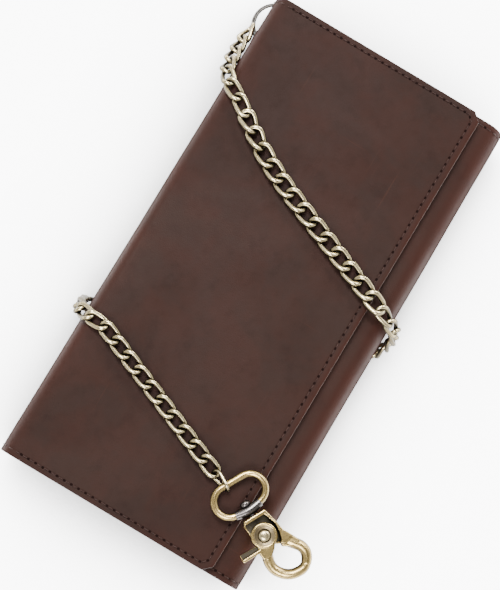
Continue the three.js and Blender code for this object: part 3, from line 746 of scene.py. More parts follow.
# ---------------------------------------------------------------- chain
def curb_link(roll_a=38, roll_b=-38, half_width=(CHAIN_W - WIRE) / 2, wire=WIRE, inner=PITCH + 0.28, n_arc=14, n_line=5, sides=12):
    a, b = inner / 2 + wire / 2, half_width
    s = a - b
    pts = []
    for i in range(n_arc + 1):
        t = -math.pi / 2 + math.pi * i / n_arc
        pts.append((s + b * math.cos(t), b * math.sin(t)))
    pts += [(s - 2 * s * i / n_line, b) for i in range(1, n_line)]
    for i in range(n_arc + 1):
        t = math.pi / 2 + math.pi * i / n_arc
        pts.append((-s + b * math.cos(t), b * math.sin(t)))
    pts += [(-s + 2 * s * i / n_line, -b) for i in range(1, n_line)]
    ra, rb = math.radians(roll_a), math.radians(roll_b)
    P, Rl = [], []
    for x, y in pts:
        f = min(max((x + a * 0.95) / (1.9 * a), 0), 1)
        r = ra + (rb - ra) * f
        P.append(Vector((x, y * math.cos(r), y * math.sin(r))))
        Rl.append(r)
    V, F = [], []
    n = len(P)
    for i in range(n):
        t = (P[(i + 1) % n] - P[i - 1]).normalized()
        u = Vector((0, -math.sin(Rl[i]), math.cos(Rl[i])))
        nn = (u - t * u.dot(t)).normalized()
        sd = t.cross(nn)
        for j in range(sides):
            w = 2 * math.pi * j / sides
            # slightly flattened on the two broad faces, as a pressed curb chain is
            q = (abs(math.cos(w)) ** 2.6 + abs(math.sin(w)) ** 2.6) ** (-1 / 2.6)
            V.append(P[i] + nn * (math.cos(w) * q * wire / 2 * 0.96) + sd * (math.sin(w) * q * wire / 2))
    for i in range(n):
        for j in range(sides):
            a_, b_ = i * sides + j, i * sides + (j + 1) % sides
            F.append((a_, b_, ((i + 1) % n) * sides + (j + 1) % sides, ((i + 1) % n) * sides + j))
    return V, F


SPINE = [((-51.6, 83.6, 10.2), (-0.9, 0, 0.6)), ((-51.7, 79.5, 11.4), (-0.7, 0, 0.8)), ((-51.7, 75.8, 13.0), (-0.55, 0, 0.9)), ((-51.5, 72.0, 15.5), (-0.5, 0, 1)), ((-51.0, 67.6, 18.8), (-0.5, 0, 1)),
         ((-50.2, 63.6, 21.9), (-0.5, 0, 1)), ((-49.3, 60.2, 24.9), (-0.5, 0, 1)), ((-46.6, 57.6, 27.0), (-0.4, 0, 1)), ((-43.2, 55.6, 27.8), (-0.1, 0, 1)), ((-40.2, 53.8, 27.8), (0, 0, 1))]
UPPER = [((-37.0, 51.4, 27.75), (0, 0, 1)), ((-31.0, 47.1, 27.75), (0, 0, 1)), ((-23.9, 42.2, 27.75), (0, 0, 1)), ((-14.8, 37.2, 27.75), (0, 0, 1)), ((-5.9, 33.3, 27.75), (0, 0, 1)),
         ((14.0, 25.4, 27.75), (0, 0, 1)), ((32.0, 18.2, 27.75), (0, 0, 1))]
RIGHT = [((38.8, 15.6, 27.6), (0.2, 0, 1)), ((43.4, 14.0, 25.9), (0.5, 0, 1)), ((48.2, 12.5, 21.6), (1, 0, 0.7)), ((50.9, 11.5, 16.5), (1, 0, 0.2)), ((51.4, 9.8, 11.0), (1, 0, 0)),
         ((51.0, 7.6, 5.6), (1, 0, -0.2)), ((49.4, 5.0, 1.2), (1, 0, -0.7)), ((46.6, 2.6, -1.2), (0.4, 0, -1)), ((43.8, 1.2, -1.75), (0, 0, -1))]
BEHIND = [((0, -15.5, -1.75), (0, 0, -1)), ((-44.6, -32.55, -1.75), (0, 0, -1))]
LEFT = [((-48.4, -33.9, -0.9), (-0.6, 0, -1)), ((-51.0, -34.8, 2.4), (-1, 0, -0.4)), ((-51.6, -35.4, 8.5), (-1, 0, 0)), ((-51.6, -36.5, 14.5), (-1, 0, 0)), ((-50.9, -38.2, 20.5), (-1, 0, 0.2)),
        ((-48.6, -39.2, 25.0), (-0.8, 0, 0.6)), ((-45.0, -39.8, 27.4), (-0.3, 0, 1))]
START = Vector((-33.3, -42.4, 27.8))
DIR = Vector((0.926, -0.377, 0)).normalized()


def place(Vs, mid, t, nrm, roll=0.0):
    t = t.normalized()
    nn = (nrm - t * nrm.dot(t)).normalized()
    s = nn.cross(t)
    if roll:
        nn, s = nn * math.cos(roll) + s * math.sin(roll), s * math.cos(roll) - nn * math.sin(roll)
    return [mid + t * v.x + s * v.y + nn * v.z for v in Vs]


def build_chain():
    ctrl = SPINE + UPPER + RIGHT + BEHIND + LEFT
    end = START - DIR * PITCH
    ctrl = ctrl + [((end.x, end.y, end.z), (0, 0, 1))]
    # a smooth curve through the points
    P = [Vector(p) for p, _ in ctrl]
    Nn = [Vector(n).normalized() for _, n in ctrl]
    fine, fn = [], []
    for i in range(len(P) - 1):
        p0, p1, p2, p3 = P[max(i - 1, 0)], P[i], P[i + 1], P[min(i + 2, len(P) - 1)]
        k = max(4, int((p2 - p1).length / 0.25))
        straight = (p2 - p1).length > 15
        for j in range(k):
            f = j / k
            if straight:
                q = p1.lerp(p2, f)
            else:
                q = 0.5 * ((2 * p1) + (p2 - p0) * f + (2 * p0 - 5 * p1 + 4 * p2 - p3) * f * f + (3 * p1 - p0 - 3 * p2 + p3) * f ** 3) if (p1 - p0).length < 15 and (p3 - p2).length < 15 else p1.lerp(p2, f)
            fine.append(q)
            fn.append(Nn[i].lerp(Nn[i + 1], f).normalized())
    fine.append(P[-1]); fn.append(Nn[-1])

    def walk(pitch):
        joints, i = [0], 0
        while True:
            j = i
            while j < len(fine) and (fine[j] - fine[i]).length < pitch:
                j += 1
            if j >= len(fine):
                return joints, (fine[-1] - fine[i]).length
            joints.append(j)
            i = j

    # the pitch that brings the last joint to the free end's first one
    best = None
    for q in range(0, 60):
        p = PITCH * (0.985 + 0.0006 * q)
        js, rest = walk(p)
        miss = min(rest, abs(p - rest))
        if best is None or miss < best[0]:
            best = (miss, p, js, rest)
    _, p, js, rest = best
    if rest > p / 2:
        js = js + [len(fine) - 1]
    else:
        js[-1] = len(fine) - 1
    n = len(js) - 1
    for i in range(n):
        a, b = fine[js[i]], fine[js[i + 1]]
        mid = (a + b) / 2
        nrm = (fn[js[i]] + fn[js[i + 1]]).normalized()
        wrap = abs(nrm.z) < 0.97
        roll = math.radians(random.uniform(-9, 9) if wrap else random.uniform(-3.5, 3.5))
        if i in (7, 8):
            roll += math.radians(24)
        if nrm.z < -0.9:
            roll = 0.0
        under = nrm.z < -0.9 and mid.z < 0
        # the stretch under the wallet is pressed flat by its weight
        if under:
            V, F = curb_link(22, -22, 1.95, 1.5, (b - a).length + 0.3)
        elif (a.z + b.z) / 2 > 26.0 and -38.0 < (a.x + b.x) / 2 < 40.0:
            # on the upper run the links lie flatter and look broader
            V, F = curb_link(36, -36, 2.72, 1.82, (b - a).length + 0.22)
        else:
            V, F = curb_link(inner=(b - a).length + 0.22)
        V = place(V, mid, b - a, nrm, roll)
        ob = to_object(f"chain_link_wound_{i + 1:02d}", [W(*v) for v in V], F, M["brass"])
        fix_normals(ob)
        behind = nrm.z < -0.9 and mid.z < 0
        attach(ob, "wallet")
        if not behind:
            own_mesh(ob)
        if i == 0:
            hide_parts("chain_run_spine")
        elif i == 14:
            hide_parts("chain_run_upper")
        elif abs(mid.x - 51) < 2.5 and not build_chain.right:
            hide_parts("chain_run_right")
            build_chain.right = True
        elif behind and not build_chain.behind:
            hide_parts("chain_run_behind")
            build_chain.behind = True
        elif mid.x < -51 and mid.y < 0 and not build_chain.left:
            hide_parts("chain_run_left")
            build_chain.left = True
    # free end
    owner = {0: "chain_free_end", 1: "chain_free_end", 2: "chain_pair_a", 3: "chain_pair_a", 4: "chain_pair_b", 5: "chain_pair_b", 6: "chain_pair_c", 7: "chain_pair_c",
             8: "chain_pair_d", 9: "chain_pair_d", 10: "chain_end"}
    for k in range(11):
        mid = START + DIR * (PITCH * (k - 0.5))
        d = DIR.copy()
        if k == 10:
            V, F = curb_link(46, 82, 2.2, 1.24, PITCH + 0.5)
            mid += Vector((0, 0, 0.68))
            d = (DIR + Vector((0, 0, 0.122))).normalized()
        else:
            V, F = curb_link(39, -39, 2.34, 1.6)
        V = place(V, mid, d, Vector((0, 0, 1)), math.radians(random.uniform(-1.2, 1.2)) if k < 10 else 0)
        ob = to_object(f"chain_link_free_{k:02d}", [W(*v) for v in V], F, M["brass"])
        fix_normals(ob)
        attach(ob, owner[k])
        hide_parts(f"chain_link_{k:02d}")
    return n


build_chain.right = build_chain.behind = build_chain.left = False


def build_ring():
    c = Vector((-44.3, 88.6, 9.5))
    r, w, pitch, turns = 8.1, 0.42, 0.86, 1.94
    n = 150
    pts = []
    for i in range(n + 1):
        f = i / n
        a = math.radians(-20) + f * turns * 2 * math.pi
        # two coils side by side, with the step from one to the other inside a short stretch
        z = pitch * (max(0.0, min(1.0, (f * turns - 0.90) / 0.20)) - 0.5)
        rr = r - z / pitch * 0.74
        pts.append(c + Vector((rr * math.cos(a), rr * math.sin(a), z)))
    rad = [w * min(1.0, 0.35 + min(i, n - i) / 3) for i in range(n + 1)]
    V, F = tube(pts, rad, 12)
    ob = fix_normals(to_object("split_ring_coils", [W(*v) for v in V], F, M["ring"]))
    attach(ob, "wallet")
    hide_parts("split_ring")


# ---------------------------------------------------------------- trigger snap
K = 0.96
CU = Vector((0.883, -0.469, 0)).normalized()
CV = Vector((-CU.y, CU.x, 0))
CC = Vector((36.75, -69.25, 28.9))


def clip_pt(p):
    return CC + CU * (p[0] * K) + CV * (p[1] * K) + Vector((0, 0, p[2] * K))


def outline_solid(points, z0, z1, rnd=0.0):
    """An outline in the snap's plane raised from z0 to z1, with an inset top and bottom for a rounded edge."""
    P = [Vector((x, y)) for x, y in points]
    area = sum(a.x * b.y - b.x * a.y for a, b in zip(P, P[1:] + P[:1]))
    if area < 0:
        P.reverse()
    n = len(P)

    def inset(d):
        out = []
        for i in range(n):
            a, b, c = P[i - 1], P[i], P[(i + 1) % n]
            e1, e2 = (b - a).normalized(), (c - b).normalized()
            nr = Vector((-(e1.y + e2.y), e1.x + e2.x))
            nr = nr.normalized() if nr.length > 1e-6 else Vector((-e1.y, e1.x))
            out.append(b + nr * d)
        return out

    levels = [(z0, rnd), (z0 + rnd * 0.3, rnd * 0.3), (z0 + rnd, 0), (z1 - rnd, 0), (z1 - rnd * 0.3, rnd * 0.3), (z1, rnd)] if rnd else [(z0, 0), (z1, 0)]
    V, F = [], []
    for z, d in levels:
        V += [Vector((q.x, q.y, z)) for q in (inset(d) if d else P)]
    for l in range(len(levels) - 1):
        for i in range(n):
            j = (i + 1) % n
            F.append((l * n + i, l * n + j, (l + 1) * n + j, (l + 1) * n + i))
    F.append(tuple(range(n))[::-1])
    F.append(tuple((len(levels) - 1) * n + i for i in range(n)))
    return V, F


def lathe_z(profile, cx_, cy_, sides=40):
    """A profile of (radius, z) turned about a vertical axis."""
    V, F = [], []
    for r, z in profile:
        V += [Vector((cx_ + r * math.cos(2 * math.pi * i / sides), cy_ + r * math.sin(2 * math.pi * i / sides), z)) for i in range(sides)]
    for l in range(len(profile) - 1):
        for i in range(sides):
            j = (i + 1) % sides
            F.append((l * sides + i, l * sides + j, (l + 1) * sides + j, (l + 1) * sides + i))
    F.append(tuple(range(sides))[::-1])
    F.append(tuple((len(profile) - 1) * sides + i for i in range(sides)))
    return V, F


def smooth_path(pts, n, closed=False):
    P = [Vector(p) for p in pts]
    m = len(P)
    out = []
    segs = m if closed else m - 1
    for i in range(segs):
        p0, p1, p2, p3 = (P[(i + k) % m] if closed else P[min(max(i + k, 0), m - 1)] for k in (-1, 0, 1, 2))
        for j in range(n):
            f = j / n
            out.append(0.5 * ((2 * p1) + (p2 - p0) * f + (2 * p0 - 5 * p1 + 4 * p2 - p3) * f * f + (3 * p1 - p0 - 3 * p2 + p3) * f ** 3))
    if not closed:
        out.append(P[-1])
    return out


def fused(name, parts, cuts, mat, voxel=0.16, smooth=4):
    """Joins closed shapes into one cast body: voxel remesh, cuts by boolean first, and a light smoothing."""
    V, F = merge(*parts)
    ob = fix_normals(to_object(name, [W(*clip_pt(v)) for v in V], F, mat))
    m = ob.modifiers.new("r", "REMESH")
    m.mode = "VOXEL"
    m.voxel_size = voxel / 1000
    apply_mods(ob)
    for cV, cF in cuts:
        tool = fix_normals(to_object(name + "_tool", [W(*clip_pt(v)) for v in cV], cF, mat))
        b = ob.modifiers.new("c", "BOOLEAN")
        b.operation = "DIFFERENCE"
        b.solver = "EXACT"
        b.object = tool
        apply_mods(ob)
        me = tool.data
        bpy.data.objects.remove(tool)
        bpy.data.meshes.remove(me)
    if cuts:
        m = ob.modifiers.new("r", "REMESH")
        m.mode = "VOXEL"
        m.voxel_size = voxel / 1000
        apply_mods(ob)
    s = ob.modifiers.new("s", "SMOOTH")
    s.factor = 0.5
    s.iterations = smooth
    apply_mods(ob)
    me = ob.data
    me.polygons.foreach_set("use_smooth", [True] * len(me.polygons))
    if not me.materials:
        me.materials.append(mat)
    me.materials[0] = mat
    return ob


def build_snap():
    # eye: an oval loop
    hw, ce, cu = 5.6, 4.35, -6.4
    pts = []
    for i in range(25):
        a = math.radians(-90 + 180 * i / 24)
        pts.append((cu - hw * math.sin(a), ce + hw * math.cos(a), 0))
    for i in range(25):
        a = math.radians(90 + 180 * i / 24)
        pts.append((cu - hw * math.sin(a), -ce + hw * math.cos(a), 0))
    loop = tube(pts, 1.34, 16, True)
    sh = tube([(-0.75, -5.25, 0), (-0.7, -5.0, 0), (-0.35, -3.2, 0), (-0.12, -1.6, 0), (0.0, 0, 0), (-0.12, 1.6, 0), (-0.35, 3.2, 0), (-0.7, 5.0, 0), (-0.75, 5.25, 0)], [1.30, 1.62, 1.78, 1.92, 1.98, 1.92, 1.78, 1.62, 1.30], 28, False, Vector((0, 0, 1)))
    bore = tube([(-4, 0, 0), (4, 0, 0)], 1.2, 20)
    eye = fused("swivel_eye_cast", [loop], [bore], M["brass_clip"], 0.15, 3)
    collar = fix_normals(to_object("swivel_barrel_turned", [W(*clip_pt(v)) for v in sh[0]], sh[1], M["steel"]))
    drill = fix_normals(to_object("swivel_barrel_drill", [W(*clip_pt(v)) for v in bore[0]], bore[1], M["steel"]))
    cut = collar.modifiers.new("c", "BOOLEAN")
    cut.operation, cut.solver, cut.object = "DIFFERENCE", "EXACT", drill
    apply_mods(collar)
    gone = drill.data
    bpy.data.objects.remove(drill)
    bpy.data.meshes.remove(gone)
    sharp(collar, 35)
    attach(eye, "swivel_eye"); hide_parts("swivel_eye")
    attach(collar, "swivel_eye")

    post = [(0.0001, 2.9), (0.9, 2.9), (0.9, -2.0), (1.75, -2.0), (1.95, -2.3), (1.95, -3.1), (1.6, -3.6), (0.9, -3.75), (0.0001, -3.78)]
    V, F = lathe_z([(r, z) for r, z in reversed(post)], 0, 0, 28)
    V = [Vector((v.z, v.x, v.y)) for v in V]
    ob = fix_normals(to_object("swivel_post_turned", [W(*clip_pt(v)) for v in V], F, M["steel"]))
    sharp(ob, 45)
    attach(ob, "hook"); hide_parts("swivel_post")

    # body
    neck = outline_solid([(2.35, -3.9), (2.35, 4.9), (4.6, 5.5), (6.4, 5.9), (6.4, -4.4), (4.4, -4.4)], -3.0, 2.75, 0.35)
    base = outline_solid([(4.0, -4.4), (4.0, 5.5), (8.5, 6.4), (11.9, 6.9), (15.2, 6.4), (15.9, 3.3), (12.6, -3.0), (10.4, -4.3)], -3.0, -1.1, 0.25)
    wall = outline_solid([(4.6, 5.5), (8.5, 6.4), (11.9, 6.95), (15.4, 8.9), (16.6, 5.4), (15.8, 3.6), (14.6, 4.7), (11.5, 5.5), (8.5, 5.6), (5.0, 4.5)], -3.0, 2.6, 0.25)
    jp = smooth_path([(14.2, 5.9, 0), (16.4, 6.6, 0), (18.6, 8.2, 0), (20.6, 9.5, 0), (22.9, 9.9, 0), (25.0, 9.15, 0), (26.3, 8.15, 0), (26.72, 7.68, 0)], 8)
    jr = [2.3 - 0.45 * i / (len(jp) - 1) for i in range(len(jp))]
    jaw = tube(jp, jr, 18, False, Vector((0, 0, 1)), 1.06)
    tip = outline_solid([(14.8, 7.9), (15.6, 9.0), (18.2, 10.2), (19.5, 9.0), (18.4, 5.6), (16.9, 3.5), (15.2, 3.9)], -2.1, 2.1, 0.5)
    hollow = lathe_z([(5.25, -1.05), (5.25, 4.5)], 10.4, 0, 44)
    hole = lathe_z([(1.3, -4), (1.3, 4)], 10.4, 0, 20)
    phole = tube([(1, 0, 0), (3.2, 0, 0)], 1.15, 18)
    slot = outline_solid([(3.75, -6.0), (3.75, 4.0), (5.2, 4.6), (9.0, 5.05), (9.0, -6.0)], -1.0, 4.0)
    body = fused("hook_body_cast", [neck, base, wall, jaw, tip], [hollow, hole, phole, slot], M["brass_clip"], 0.14, 2)
    floor = outline_solid([(3.9, -4.0), (3.9, 4.2), (5.2, 4.5), (9.0, 5.2), (12.0, 5.2), (14.4, 4.3), (15.2, 3.2), (12.4, -2.9), (10.4, -4.0)], -1.02, -0.84, 0.05)
    ring_hole = lathe_z([(1.4, -2), (1.4, 0)], 10.4, 0, 20)
    fl = fused("hook_channel_floor", [floor], [ring_hole], M["black"], 0.12, 0)
    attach(fl, "hook")
    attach(body, "hook"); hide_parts("hook_body")

    # trigger: ringed hub, lever and moving jaw
    hub = lathe_z([(0.01, 0.25), (4.2, 0.25), (4.7, 0.5), (4.85, 1.0), (4.85, 1.9), (4.6, 2.3), (4.2, 2.45), (3.7, 2.35), (3.3, 2.0), (2.9, 1.9), (2.4, 1.95), (0.01, 2.0)], 10.4, 0, 56)
    cp = smooth_path([(15.7, -1.9, 0.1), (17.4, -2.7, 0), (19.8, -3.3, 0), (22.5, -3.05, 0), (25.4, -1.2, 0), (27.2, 1.4, 0), (27.75, 4.2, 0), (27.6, 6.1, 0), (27.0, 7.4, 0), (26.72, 7.86, 0)], 8)
    n = len(cp)
    cr = []
    for i in range(n):
        f = i / (n - 1)
        cr.append(2.1 - 0.28 * f)
    claw = tube(cp, cr, 18, False, Vector((0, 0, 1)), 1.0)
    web = outline_solid([(12.5, -4.1), (13.6, -4.4), (15.6, -4.9), (17.8, -4.5), (18.0, -1.4), (16.4, 0.7), (14.9, 1.8), (13.4, 3.1)] + [(10.4 + 4.3 * math.cos(math.radians(a)), 4.3 * math.sin(math.radians(a))) for a in (42, 20, 0, -20, -45, -60)], 0.2, 2.35, 0.35)
    thumb = outline_solid([(11.9, -11.2), (14.9, -11.2), (14.9, -4.2), (12.2, -3.0)], 0.1, 1.3, 0.3)
    lip = outline_solid([(13.75, -11.3), (14.95, -11.3), (14.95, -4.0), (13.75, -3.6)], 0.1, 2.6, 0.3)
    room = outline_solid([(4, -6), (4, 8), (15.9, 8), (16.6, 3.0), (13.1, -3.6), (12.2, -6)], -4, -0.7)
    room2 = lathe_z([(5.6, -5), (5.6, 0.1)], 10.4, 0, 40)
    hole2 = lathe_z([(1.4, -4), (1.4, 4)], 10.4, 0, 20)
    claw_ob = fused("trigger_cast", [hub, claw, web, thumb, lip], [room, room2, hole2], M["brass_clip"], 0.15, 3)
    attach(claw_ob, "trigger"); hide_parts("trigger_claw")
    V, F = outline_solid([(12.0, -11.0), (13.8, -11.0), (13.8, -4.3), (12.35, -3.7)], 1.2, 1.42, 0.06)
    ob = fix_normals(to_object("trigger_thumb_recess", [W(*clip_pt(v)) for v in V], F, M["black"], smooth=False))
    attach(ob, "trigger")
    V, F = lathe_z([(2.2, 1.86), (2.2, 2.02), (2.5, 2.06), (3.3, 2.14), (3.75, 2.36), (3.85, 2.3), (3.6, 1.9)], 10.4, 0, 48)
    F = F[:-2] + [(6 * 48 + i, 6 * 48 + (i + 1) % 48, (i + 1) % 48, i) for i in range(48)]
    ob = fix_normals(to_object("trigger_hub_inlay", [W(*clip_pt(v)) for v in V], F, M["bronze"]))
    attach(ob, "trigger")

    V, F = lathe_z([(0.01, -3.6), (1.3, -3.55), (1.5, -3.35), (1.5, -3.2), (1.05, -3.15), (1.05, 2.35), (1.9, 2.4), (2.15, 2.65), (2.1, 3.0), (1.75, 3.35), (1.2, 3.55), (0.6, 3.62), (0.01, 3.63)], 10.4, 0, 36)
    ob = fix_normals(to_object("trigger_rivet_domed", [W(*clip_pt(v)) for v in V], F, M["brass"]))
    sharp(ob, 50)
    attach(ob, "hook"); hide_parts("trigger_rivet")

    pts = []
    for i in range(90):
        a = i / 89 * 1.6 * 2 * math.pi
        pts.append((10.4 + 2.6 * math.cos(a), 2.6 * math.sin(a), -0.78 + 0.62 * i / 89))
    V, F = tube(pts, 0.18, 8)
    ob = fix_normals(to_object("trigger_spring_wire", [W(*clip_pt(v)) for v in V], F, M["steel"]))
    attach(ob, "hook"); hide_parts("trigger_spring")


# ---------------------------------------------------------------- inside
def build_inside():
    # flap lining
    k, c, e, l = 1.2, 3.0, EDGE, HALF_L
    out = [(-39, -l + k), (e - c - k, -l + k), (e - k, -l + c + k), (e - k, l - c - k), (e - c - k, l - k), (-39, l - k)]
    circ = lambda x, y, r, m=28: [(x + r * math.cos(2 * math.pi * i / m), y + r * math.sin(2 * math.pi * i / m)) for i in range(m)]
    ob = slab("flap_lining_leather", out, 23.3, 24.15, [M["lining"], M["edge"]], 0.15, [circ(28.5, 55, 5.4), circ(28.5, -55, 5.4)])
    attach(ob, "flap"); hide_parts("flap_lining")

    def panel(name, node, x0, x1, y0, y1, z0, z1, mats, body="wallet", r=1.0, bev=0.22):
        ob_ = slab(name, rect(x0, x1, y0, y1, r), z0, z1, mats, bev)
        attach(ob_, body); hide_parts(node)
        return ob_

    pm = [M["panel"], M["edge"]]
    panel("back_lining_sheet", "back_lining", -41, 40, -92.5, 92.5, 1.75, 2.5, [M["lining"]])
    panel("front_lining_sheet", "front_lining", MOUTH + 1, 40, -92.5, 92.5, 19.4, 20.3, [M["lining"]])
    panel("zip_pocket_back_panel", "zip_pocket_back", -33, 42, -90.6, 90.6, 7.2, 8.0, pm)
    panel("zip_pocket_front_panel", "zip_pocket_front", -33, 42, -90.6, 90.6, 13.4, 14.2, pm)
    # end gussets: folded walls between the front and the back, creased inwards at the middle
    for s, node in ((1, "gusset_upper"), (-1, "gusset_lower")):
        prof = [(92.1, 2.0), (92.2, 3.4), (91.9, 5.0), (91.0, 7.4), (89.8, 9.6), (89.3, 10.9), (89.8, 12.2), (91.0, 14.4), (91.9, 17.0), (92.2, 18.6), (92.1, 19.9)]
        prof = [tuple(q) for q in densify(prof, 0.8)]
        top, bot = [], []
        for y, z in prof:
            top.append([]); bot.append([])
            for i in range(41):
                x = -35.0 + (41.0 + 35.0) * i / 40
                d = 0.25 * wob(x, z * 3, 5.0, 20.0, 7.0)
                top[-1].append(W(x, s * (y + d), z)); bot[-1].append(W(x, s * (y + d - 0.9), z))
        ob = grid_solid(node + "_folded", top, bot, [M["gusset"], M["gusset"]])
        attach(ob, "wallet"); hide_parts(node)
    # card slots, each with its stitched ends
    lines = []
    for node, x0, x1 in (("card_slot_first", -34.5, -24.2), ("card_slot_second", -23.9, -13.6), ("card_slot_third", -13.3, 21.0)):
        panel(node + "_leather", node, x0, x1, 3, 92, 22.1, 22.9, pm, r=1.5)
        for y in (4.6, 90.4):
            lines.append(([(x0 + 1.5, y, 22.92), (x1 - 1.2, y, 22.92)], [(0, 0, 1)] * 2, 2.6, 0.2))
    ob = slab("id_window_frame_leather", rect(-34.5, 21.0, -92, -3, 1.5), 22.1, 22.9, pm, 0.22, [rect(-28, 14.5, -83, -12, 3)])
    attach(ob, "wallet"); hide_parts("id_window_frame")
    wr = [(-29.6, -84.6, 22.92), (16.1, -84.6, 22.92), (16.1, -10.4, 22.92), (-29.6, -10.4, 22.92), (-29.6, -84.6, 22.92)]
    lines.append((wr, [(0, 0, 1)] * 5, 2.6, 0.2))
    lines.append(([(19.4, 5, 22.92), (19.4, 90, 22.92)], [(0, 0, 1)] * 2, 2.6, 0.2))
    add_stitches("pocket_stitches", lines, "wallet")
    ob = slab("id_window_sheet", rect(-28.6, 15.1, -83.6, -11.4, 2), 22.25, 22.5, [M["window"]], 0.05)
    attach(ob, "wallet"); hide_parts("id_window")
    # zip
    for node, z0, z1 in (("zip_tape_back", 8.35, 8.85), ("zip_tape_front", 12.55, 13.05)):
        ob = slab(node + "_woven", rect(-36.6, -27, -78, 78, 0.6), z0, z1, [M["tape"]], 0.12)
        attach(ob, "wallet"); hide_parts(node)
    for node, z0, z1, off, s in (("zip_teeth_back", 8.4, 11.3, 0.0, 1), ("zip_teeth_front", 10.1, 13.0, 1.2, -1)):
        parts = []
        for i in range(60):
            y = -72 + off + 2.4 * i + 1.2
            base_z = z0 if s > 0 else z1
            pts = [(-37.35, y, base_z), (-37.35, y, base_z + s * 1.2), (-37.35, y, base_z + s * 2.2), (-37.35, y, base_z + s * 2.85)]
            parts.append(tube(pts, [0.42, 0.52, 0.62, 0.4], 8, False, Vector((1, 0, 0)), 1.05))
        parts.append(tube([(-36.9, -73, (z0 + 0.5) if s > 0 else (z1 - 0.5)), (-36.9, 73.4, (z0 + 0.5) if s > 0 else (z1 - 0.5))], 0.5, 8))
        V, F = merge(*parts)
        ob = fix_normals(to_object(node + "_cast", [W(*v) for v in V], F, M["zip"]))
        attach(ob, "wallet"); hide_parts(node)
    def rounded(node, name, body, mat, width, inset=0.0):
        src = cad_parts[node]
        me = src.data.copy()
        me.transform(src.matrix_world)
        me.name = name
        me.materials.clear()
        me.materials.append(mat)
        bm = bmesh.new()
        bm.from_mesh(me)
        bmesh.ops.remove_doubles(bm, verts=bm.verts, dist=2e-6)
        bmesh.ops.dissolve_limit(bm, angle_limit=math.radians(1), verts=bm.verts, edges=bm.edges)
        bmesh.ops.recalc_face_normals(bm, faces=bm.faces)
        bm.normal_update()
        if inset:
            for v in bm.verts:
                v.co -= v.normal * inset / 1000
        for f in bm.faces:
            f.material_index = 0
        bm.to_mesh(me)
        bm.free()
        ob_ = bpy.data.objects.new(name, me)
        bpy.context.scene.collection.objects.link(ob_)
        bevel(ob_, width, 2, 30)
        sharp(ob_, 45)
        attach(ob_, body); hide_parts(node)

    rounded("zip_stop_upper", "zip_stop_upper_cast", "wallet", M["zip"], 0.14)
    rounded("zip_stop_lower", "zip_stop_lower_cast", "wallet", M["zip"], 0.14)
    rounded("zip_slider", "zip_slider_cast", "zip_slider", M["zip"], 0.16, 0.04)
    rounded("zip_pull", "zip_pull_cast", "zip_pull", M["zip"], 0.12, 0.12)
    for tag in ("upper", "lower"):
        rounded("snap_socket_" + tag, f"snap_socket_{tag}_pressed", "flap", M["snap"], 0.1)
        rounded("snap_stud_" + tag, f"snap_stud_{tag}_pressed", "wallet", M["snap"], 0.1)
        rounded("snap_washer_" + tag, f"snap_washer_{tag}_pressed", "wallet", M["snap"], 0.08)
    # eyelet
    x, y, z = -48.0, 80.93, 9.5

    def lathe_x(prof, sides=36):
        V, F = [], []
        n_ = len(prof)
        for px, pr in prof:
            V += [Vector((px, y + pr * math.cos(2 * math.pi * i / sides), z + pr * math.sin(2 * math.pi * i / sides))) for i in range(sides)]
        for a in range(n_):
            b = (a + 1) % n_
            for i in range(sides):
                j = (i + 1) % sides
                F.append((a * sides + i, a * sides + j, b * sides + j, b * sides + i))
        return V, F

    V, F = lathe_x([(x + 2.6, 1.85), (x - 0.55, 1.85), (x - 0.95, 2.3), (x - 1.0, 2.9), (x - 0.75, 3.6), (x - 0.35, 3.9), (x - 0.22, 3.7), (x - 0.22, 2.2), (x + 2.6, 2.2)])
    ob = fix_normals(to_object("eyelet_barrel_rolled", [W(*v) for v in V], F, M["ring"]))
    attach(ob, "wallet"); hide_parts("eyelet_barrel")
    V, F = lathe_x([(x + 1.8, 2.45), (x + 2.1, 2.45), (x + 2.4, 3.0), (x + 2.3, 3.7), (x + 1.95, 3.9), (x + 1.8, 3.7)])
    ob = fix_normals(to_object("eyelet_washer_rolled", [W(*v) for v in V], F, M["ring"]))
    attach(ob, "wallet"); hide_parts("eyelet_washer")


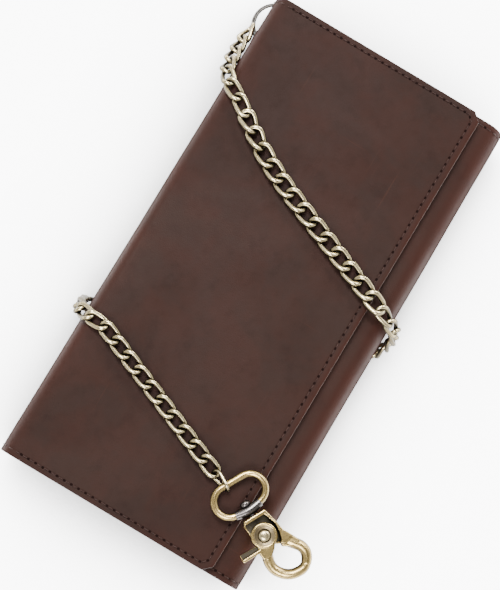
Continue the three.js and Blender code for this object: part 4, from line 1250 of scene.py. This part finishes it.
# ---------------------------------------------------------------- stage
def build_stage():
    me = bpy.data.meshes.new("floor")
    s = 3.0
    me.from_pydata([(-s, -s, 0), (s, -s, 0), (s, s, 0), (-s, s, 0)], [], [(0, 1, 2, 3)])
    fl = bpy.data.objects.new("floor", me)
    bpy.context.scene.collection.objects.link(fl)
    m = Mat("floor_paper")
    f = m.noise(900, 3, 0.5)
    m.set(Base_Color=m.mix(m.rng(f, 0.3, 0.7), (0.86, 0.86, 0.86), (0.88, 0.88, 0.88)), Roughness=0.9, Specular_IOR_Level=0.1)
    # the floor glows; ambient occlusion dims its glow near the wallet, a painted shadow round the object
    ao = m.t.nodes.new("ShaderNodeAmbientOcclusion")
    ao.samples = 8
    ao.inputs["Distance"].default_value = 0.055
    m.link(m.rng(ao.outputs["AO"], 0.40, 1.0, 0.35, 8.0), m.b.inputs["Emission Strength"])
    m.b.inputs["Emission Color"].default_value = (1, 1, 1, 1)
    me.materials.append(m.m)

    world = bpy.data.worlds.new("studio")
    bpy.context.scene.world = world
    world.use_nodes = True
    t = world.node_tree
    t.nodes.clear()
    out = t.nodes.new("ShaderNodeOutputWorld")
    bg = t.nodes.new("ShaderNodeBackground")
    co = t.nodes.new("ShaderNodeTexCoord")
    sep = t.nodes.new("ShaderNodeSeparateXYZ")
    rp = t.nodes.new("ShaderNodeValToRGB")
    t.links.new(co.outputs["Generated"], sep.inputs[0])
    t.links.new(sep.outputs["Z"], rp.inputs[0])
    e = rp.color_ramp.elements
    e[0].position, e[0].color = 0.0, (0.9, 0.9, 0.9, 1)
    e[1].position, e[1].color = 1.0, (0.10, 0.10, 0.10, 1)
    for p, c in ((0.25, 1.0), (0.55, 0.75), (0.80, 0.22)):
        k = e.new(p)
        k.color = (c, c, c, 1)
    t.links.new(rp.outputs[0], bg.inputs[0])
    bg.inputs[1].default_value = 1.0
    t.links.new(bg.outputs[0], out.inputs[0])

    def area(name, loc, target, size, power, size_y=None, color=(1, 1, 1)):
        d = bpy.data.lights.new(name, "AREA")
        d.shape = "RECTANGLE"
        d.size, d.size_y = size, size_y or size
        d.energy = power
        d.color = color
        o_ = bpy.data.objects.new(name, d)
        bpy.context.scene.collection.objects.link(o_)
        o_.location = loc
        o_.rotation_euler = (Vector(target) - Vector(loc)).to_track_quat("-Z", "Y").to_euler()
        return o_

    area("key", (-0.42, 0.45, 1.25), (0, 0, 0), 0.5, 26.0, 0.6)
    area("fill", (0.25, -0.75, 1.15), (0, -0.03, 0), 0.5, 13.0, 0.5)
    area("rim", (0.25, 1.0, 0.75), (0, 0, 0), 0.5, 8.0, 0.3)


build_cover()
build_flap()
build_stitches()
links = build_chain()
build_ring()
build_snap()
build_inside()
build_stage()
